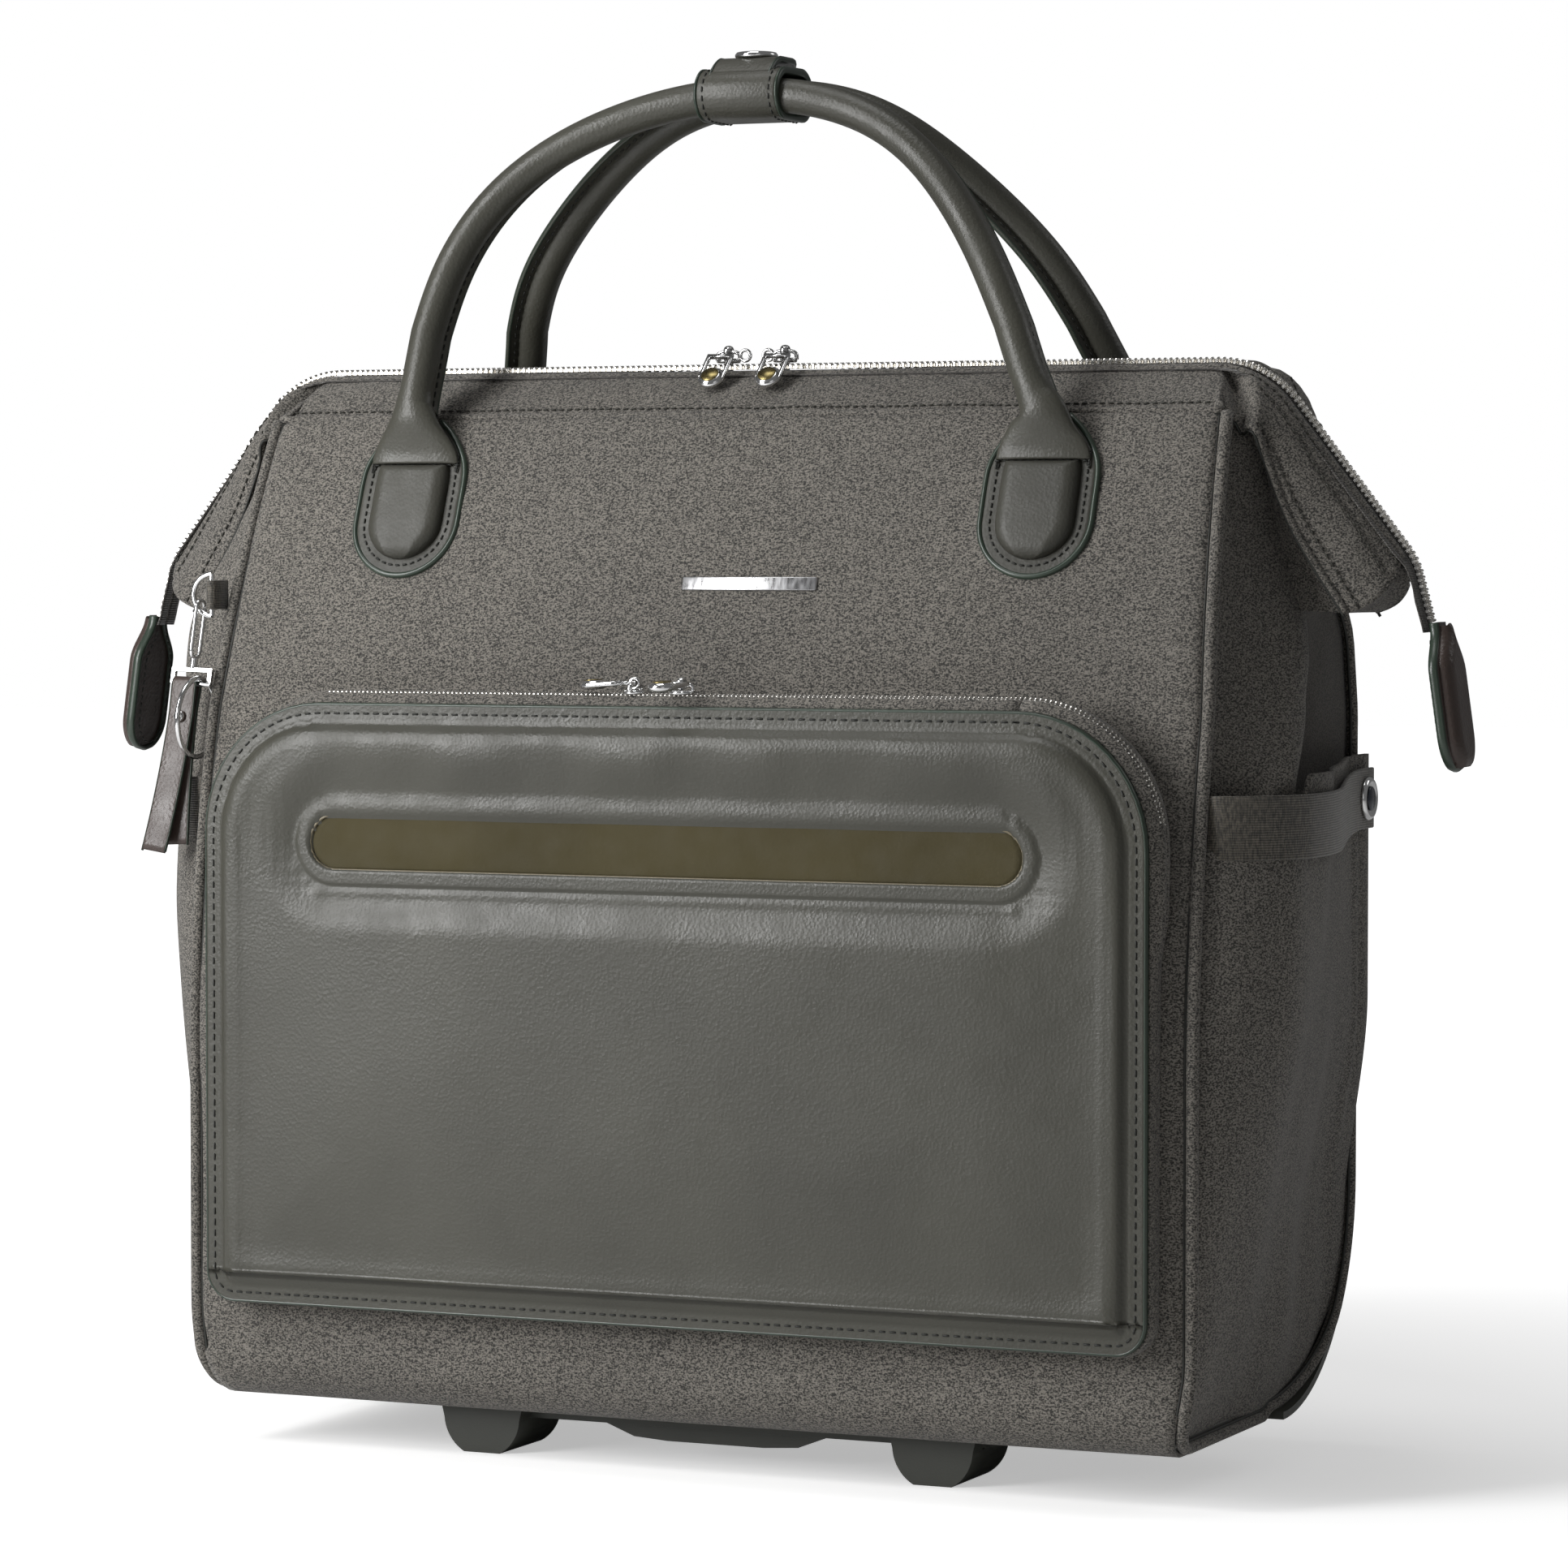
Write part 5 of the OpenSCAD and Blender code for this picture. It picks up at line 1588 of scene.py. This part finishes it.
def pull_body(link, bend, length):
    """Pull: a looped link, then a bent frame with an open window and a swollen, rounded end."""
    ring = [Vector((0, 1.95 * cos(a), 1.95 * sin(a))) for a in (2 * pi * k / 20 for k in range(20))]
    loop = sweep(ring, ellipse(0.65, 1.5, 10), up=(1, 0, 0), closed=True)
    neck = sweep([(0, -1.9, 0), (0, -link - 0.6, 0)], rounded_rect(3.0, 1.6, 0.6), up=(0, 0, 1))
    half, tail = 4.9, 5.4
    path = []
    for k in range(25):
        a = pi * k / 24
        path.append(Vector((half * cos(a), -(length - tail) - tail * sin(a) * 0.82, 0)))
    head = [Vector((half, -3 * k, 0)) for k in range(int((length - tail) / 3) + 1)]
    frame_path = head + path[1:] + [Vector((-p.x, p.y, 0)) for p in reversed(head)]
    frame_loop = sweep(frame_path, rounded_rect(1.7, 1.9, 0.6), up=(0, 0, 1))
    top_bar = sweep([(-half, -0.6, 0), (half, -0.6, 0)], rounded_rect(1.8, 1.9, 0.6), up=(0, 0, 1))
    knob = [(0, -1.7), (3.8, -1.7), (5.1, -1.1), (5.6, 0), (5.1, 1.1), (4.1, 1.8), (3.7, 1.9), (0, 1.9)]
    blob = placed(lathe(knob, 36), Matrix.Translation((0, -length + 5, 0)))
    m = Matrix.Translation((0, -link, 0)) @ Matrix.Rotation(radians(bend), 4, "X")
    disc_shape = [(0, 0), (3.6, 0), (3.8, 0.25), (3.6, 0.45), (0, 0.6)]
    disc = placed(lathe(disc_shape, 36), m @ Matrix.Translation((0, -length + 5, 1.75)))
    return join(loop, neck, placed(join(frame_loop, top_bar, blob), m)), disc


def sliders():
    for name, way in (("left", -1), ("right", 1)):
        lo, hi = low("main_slider_" + name), high("main_slider_" + name)
        x = (lo.x + hi.x) / 2
        place = Matrix.Translation((x, 0, ZIP_Z))
        add("slider_" + name, placed(slider_body(2.3, 3.0), place),
            CHROME, "zip_slider_" + name, ["main_slider_" + name])
        hinge = Matrix.Translation((x, 0, ZIP_Z + 2.3 + 1.8 + 3)) @ Matrix.Rotation(radians(12), 4, "X")
        body, disc = pull_body(8, 33, 18)
        add("pull_" + name, placed(body, hinge),
            CHROME, "zip_pull_" + name, ["main_pull_" + name])
        add("pull_disc_" + name, placed(disc, hinge), OLIVE_DISC, "zip_pull_" + name)
        lock = [Vector((2.2 * cos(a), 0, 2.2 * sin(a))) for a in (2 * pi * k / 18 for k in range(18))]
        ring = placed(sweep(lock, ellipse(0.7, 0.9, 8), up=(0, 1, 0), closed=True),
                      Matrix.Translation((x - way * 7.4, 0, ZIP_Z + 5.6)))
        add("lock_ring_" + name, ring, CHROME, "zip_slider_" + name)
    for name, turn in (("left", -90), ("right", 0)):
        lo, hi = low("pocket_slider_" + name), high("pocket_slider_" + name)
        x = (lo.x + hi.x) / 2
        z = POCKET_TOP + ZIP_OUT - 1
        spin = Matrix.Rotation(radians(turn), 4, "Z")
        part = placed(slider_body(1.8, 3.0), Matrix.Translation((x, ZIP_Y, z)) @ spin)
        add("pocket_slider_body_" + name, part, CHROME, "pocket_zip_" + name, ["pocket_slider_" + name])
        hinge = Matrix.Translation((x, ZIP_Y, z + 1.8 + 1.8 + 3)) @ spin
        body, disc = pull_body(5, 4, 18)
        add("pocket_pull_body_" + name, placed(body, hinge),
            CHROME, "pocket_tag_" + name, ["pocket_pull_" + name])
        add("pocket_pull_disc_" + name, placed(disc, hinge), OLIVE_DISC, "pocket_tag_" + name)


# ---- zip-end tabs ----

def zip_tabs():
    for side in (-1, 1):
        name = hand(side)
        node_name = "zip_tab_" + name
        lo, hi = low(node_name), high(node_name)
        top, bottom = hi.z + 5, lo.z
        w = (hi.y - lo.y) / 2
        x_in = (lo.x + 1.6) if side > 0 else -(hi.x - 1.6)
        tilt = radians(8)
        height = top - bottom

        def outline(t):
            z = t * height
            neck = mix(4.2, w, smooth((z - 2) / 17))
            foot = height - z
            return neck if foot > w else min(neck, root(w * w - (w - foot) ** 2))

        def layer(x0, x1, inset, puff):
            def fn(u, v):
                t = (1 - cos(pi * v)) / 2
                t = mix(inset / height, 1 - inset / height, t)
                half = max(0.15, outline(t) - inset)
                y = (u * 2 - 1) * half
                edge = min((half - abs(y)) / 5.0, t * height / 6.0, (1 - t) * height / 6.0)
                bulge = puff * root(1 - (1 - clamp01(edge)) ** 2)
                return Vector((x1 + bulge, y, -t * height))
            return shell(fn, 22, 36, x1 - x0)

        m = Matrix.Translation((x_in, 0, top)) @ Matrix.Rotation(-tilt, 4, "Y")
        backing = placed(layer(-1.2, 1.0, 0.0, 0.0), m)
        front = placed(layer(1.0, 2.2, 1.6, 4.4), m)
        rim = []
        for k in range(61):
            t = k / 60
            rim.append(Vector((1.1, outline(t), -t * height)))
        loop = rim + [Vector((p.x, -p.y, p.z)) for p in reversed(rim[:-1])]
        edge = placed(sweep(loop, ellipse(1.0, 1.9, 10), up=(1, 0, 0)), m)
        lines = [Vector((-1.3, p.y * 0.78, mix(p.z, -height / 2, 0.10))) for p in loop[4:-4]]
        facing = [Vector((3.6, p.y * 0.83, mix(p.z, -height / 2, 0.10))) for p in loop[6:-6]]
        stitching = placed(join(stitch_mesh(lines, (-1, 0, 0), 3.2, 2.2, 0.36, 0.0),
                                stitch_mesh(facing, (1, 0, 0), 3.2, 2.2, 0.36, 0.0)), m)
        flip = (lambda part: part) if side > 0 else flipped
        add("tab_leather_" + name, flip(join(backing, front)),
            BROWN, "tab_" + name, [node_name])
        add("tab_painted_edge_" + name, flip(edge), EDGE, "tab_" + name)
        add("tab_stitching_" + name, flip(stitching), THREAD, "tab_" + name)


# ---- side straps and key fob ----

def strap_path():
    pts = []
    for k in range(61):
        y = mix(-75.5, SIDE_Y1, (k / 60) ** 1.1)
        x = HALF_W - 0.6 + side_swell(y, 262) + 2.2
        z = 259.5 + 5.0 * smooth((y - 10) / 80)
        pts.append(Vector((x, y, z)))
    return pts


def side_straps():
    for side in (-1, 1):
        name = hand(side)
        path = strap_path()
        part = sweep(path, rounded_rect(1.7, 24.5, 0.7), up=(0, 0, 1))
        if side < 0:
            part = flipped(part)
        strap = add("strap_webbing_" + name, part, WEBBING, "strap_" + name, ["side_strap_" + name], ride=False)
        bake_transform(strap)
        at = min(path, key=lambda p: abs(p.y - 88))
        m = Matrix.Translation(at + Vector((0.9, 0, 0))) @ Matrix.Rotation(pi / 2, 4, "Y")
        part = placed(snap_cap(8.7), m)
        if side < 0:
            part = flipped(part)
        add("strap_snap_" + name, part, CHROME, "strap_" + name)
        middle = [(0, 0), (4.6, 0), (4.9, 0.25), (4.6, 0.5), (0, 0.62)]
        part = placed(lathe(middle, 36), m @ Matrix.Translation((0, 0, 1.95)))
        if side < 0:
            part = flipped(part)
        add("strap_snap_middle_" + name, part, SNAP_MIDDLE, "strap_" + name)


def key_fob():
    """Webbing loop on the seam, and the folded leather strap with its dome rivet."""
    lo, hi = low("ring_loop"), high("ring_loop")
    cy, cz = lo.y + 3.2, (lo.z + hi.z) / 2
    path = [Vector((hi.x - 0.6, hi.y, cz))]
    for k in range(13):
        a = radians(180 * k / 12)
        path.append(Vector((lo.x + 1.8 + 1.9 * cos(a), cy - 1.9 * sin(a), cz)))
    path.append(Vector((lo.x + 0.2, hi.y - 1.5, cz)))
    add("loop_webbing", sweep(path, rounded_rect(1.0, hi.z - lo.z, 0.4), up=(0, 0, 1)),
        WEBBING, "bag", ["ring_loop"])
    tilt = Matrix.Rotation(radians(2.3), 4, "Y") @ Matrix.Rotation(radians(-11), 4, "X")
    hang = Vector((-223.6, -66.5, 339.4))
    m = Matrix.Translation(hang) @ tilt @ Matrix.Translation(-hang)
    x0, x1 = hang.x - 7.4, hang.x + 3.4
    top_z = 309.1
    parts, edges = [], []
    for way, length, splay in ((-1, 70, 3.0), (1, 66, -2.4)):
        line = []
        for k in range(9):
            a = radians(90 * k / 8)
            line.append(Vector((0, way * 2.1 * sin(a), 2.1 * cos(a))))
        for k in range(1, 25):
            t = k / 24
            line.append(Vector((splay * -1.3 * t * t, way * mix(2.1, 1.2, smooth(t * 5)) - splay * 0.5 * t * t, -t * length)))
        centre = Vector(((x0 + x1) / 2, hang.y, top_z))
        line = [p + centre for p in line]
        parts.append(sweep(line, rounded_rect(x1 - x0, 1.5, 0.6), up=lambda i, w=way: (0, w, 0.01) if i > 8 else (0, w * 0.7, 0.7)))
        for x in (x0, x1):
            edges.append(sweep([p + Vector((x - (x0 + x1) / 2, 0, 0)) for p in line], ellipse(0.35, 0.85, 8),
                               up=lambda i, w=way: (0, w, 0.01) if i > 8 else (0, w * 0.7, 0.7)))
    add("fob_leather", placed(join(*parts), m), BROWN, "fob", ["fob_strap"])
    add("fob_painted_edges", placed(join(*edges), m), EDGE, "fob")
    dome = [(0, 0), (2.3, 0), (2.5, 0.4), (2.1, 1.1), (1.2, 1.7), (0, 1.9)]
    spot = m @ Matrix.Translation(((x0 + x1) / 2, hang.y - 2.6, top_z - 14)) @ Matrix.Rotation(pi / 2, 4, "X")
    add("fob_rivet", placed(lathe(dome, 24), spot), CHROME, "fob")


def name_plate():
    lo, hi = low("name_bar"), high("name_bar")
    w, h = hi.x - lo.x, 5.6
    z = (lo.z + hi.z) / 2
    lean = asin((z - LEAN_Z) / FRONT_R)
    out = Vector((0, -cos(lean), sin(lean)))
    at = Vector(((lo.x + hi.x) / 2, front_y(z), z)) + out * 2.9
    path = [at + Vector((dx, 0, 0)) for dx in (-w / 2, -w / 2 + 0.6, w / 2 - 0.6, w / 2)]
    part = sweep(path, lambda s: rounded_rect(h if 0.1 < s < 0.9 else h - 1, 2.0 if 0.1 < s < 0.9 else 1.2, 0.5),
                         up=lambda i: out)
    add("name_plate", part, ALLOY, "bag", ["name_bar"])


# ---- stage ----

def stage():
    scene = bpy.context.scene
    scene.view_settings.view_transform = "Standard"
    scene.view_settings.look = "None"
    world = bpy.data.worlds.new("studio")
    world.use_nodes = True
    nt = world.node_tree
    sky = nt.nodes["Background"]
    sky.inputs["Color"].default_value = (1, 1, 1, 1)
    path = nt.nodes.new("ShaderNodeLightPath")
    level = node(nt, "ShaderNodeMapRange", To_Min=0.145, To_Max=1.0)
    nt.links.new(path.outputs["Is Camera Ray"], level.inputs["Value"])
    nt.links.new(level.outputs["Result"], sky.inputs["Strength"])
    scene.world = world
    mesh = bpy.data.meshes.new("floor")
    mesh.from_pydata([(-6, -5, 0), (6, -5, 0), (6, 9, 0), (-6, 9, 0)], [], [(0, 1, 2, 3)])
    floor = bpy.data.objects.new("floor", mesh)
    scene.collection.objects.link(floor)
    mat, nt, bsdf = material("pale_floor", (0.9, 0.9, 0.9), 0.9)
    path = nt.nodes.new("ShaderNodeLightPath")
    away = nt.nodes.new("ShaderNodeVectorMath")
    away.operation = "LENGTH"
    nt.links.new(place_map(nt), away.inputs[0])
    glow = node(nt, "ShaderNodeMapRange", From_Min=0.35, From_Max=1.1, To_Min=0.45, To_Max=1.0)
    nt.links.new(away.outputs["Value"], glow.inputs["Value"])
    seen = math_node(nt, "MULTIPLY", path.outputs["Is Camera Ray"], glow.outputs["Result"])
    nt.links.new(seen, bsdf.inputs["Emission Strength"])
    bsdf.inputs["Emission Color"].default_value = (1, 1, 1, 1)
    mesh.materials.append(mat)
    for name, place, aim, size, power in (
            ("key", (-0.85, -1.1, 1.25), (-0.10, 0, 0.34), 0.55, 12),
            ("fill", (1.6, -2.6, 0.9), (0, 0, 0.25), 1.2, 2.2),
            ("rim", (1.5, 1.2, 1.5), (0.1, 0, 0.3), 0.8, 3),
            ("top", (-0.3, -0.2, 2.4), (0, 0, 0.3), 1.0, 12),
            ("glow", (-0.82, -1.15, 0.56), (-0.14, -0.1, 0.33), 0.55, 14)):
        light = bpy.data.lights.new(name, "AREA")
        light.size = size
        light.energy = power
        lamp = bpy.data.objects.new(name, light)
        lamp.location = place
        lamp.rotation_mode = "QUATERNION"
        lamp.rotation_quaternion = (Vector(aim) - Vector(place)).to_track_quat("-Z", "Y")
        scene.collection.objects.link(lamp)


def camera():
    yaw, pitch, distance = radians(24.1), radians(2.4), 2.2325
    side_step, eye = 0.0077, 0.3633
    right = Vector((cos(yaw), sin(yaw), 0))
    ahead = Vector((-sin(yaw), cos(yaw), 0))
    data = bpy.data.cameras.new("camera")
    data.sensor_width = 36
    data.lens = 126.8
    data.clip_end = 100
    cam = bpy.data.objects.new("camera", data)
    cam.location = -ahead * distance + right * side_step + Vector((0, 0, eye))
    look = ahead * cos(pitch) - Vector((0, 0, sin(pitch)))
    cam.rotation_mode = "QUATERNION"
    cam.rotation_quaternion = look.to_track_quat("-Z", "Y")
    bpy.context.scene.collection.objects.link(cam)
    bpy.context.scene.camera = cam


# ---- build ----

paint_frame()
for part, width in (("base_tray", 1.0), ("front_feet", 1.0), ("trolley_grip", 1.2), ("trolley_bezel", 0.8),
                    ("release_button", 0.8), ("stiffener_boards", 0.6), ("laptop_sleeve", 1.2)):
    soften(part, width)
front_fabric()
bottom_fabric()
piping_cords()
sides()
rear_fabric()
upper_back_fabric()
band_fabric("front", BANDS[0], ["top_band_front", "top_wings"])
band_fabric("back", BANDS[1], ["top_band_back"])
for side in (-1, 1):
    wing_under(side)
    wing_end(side)
zip_tape()
zip_chain()
band_seams()
band_welt()
pocket_leather()
pocket_details()
pocket_side()
carry_handles()
handle_wrap()
wrap_flap()
sliders()
zip_tabs()
side_straps()
key_fob()
name_plate()
stage()
camera()
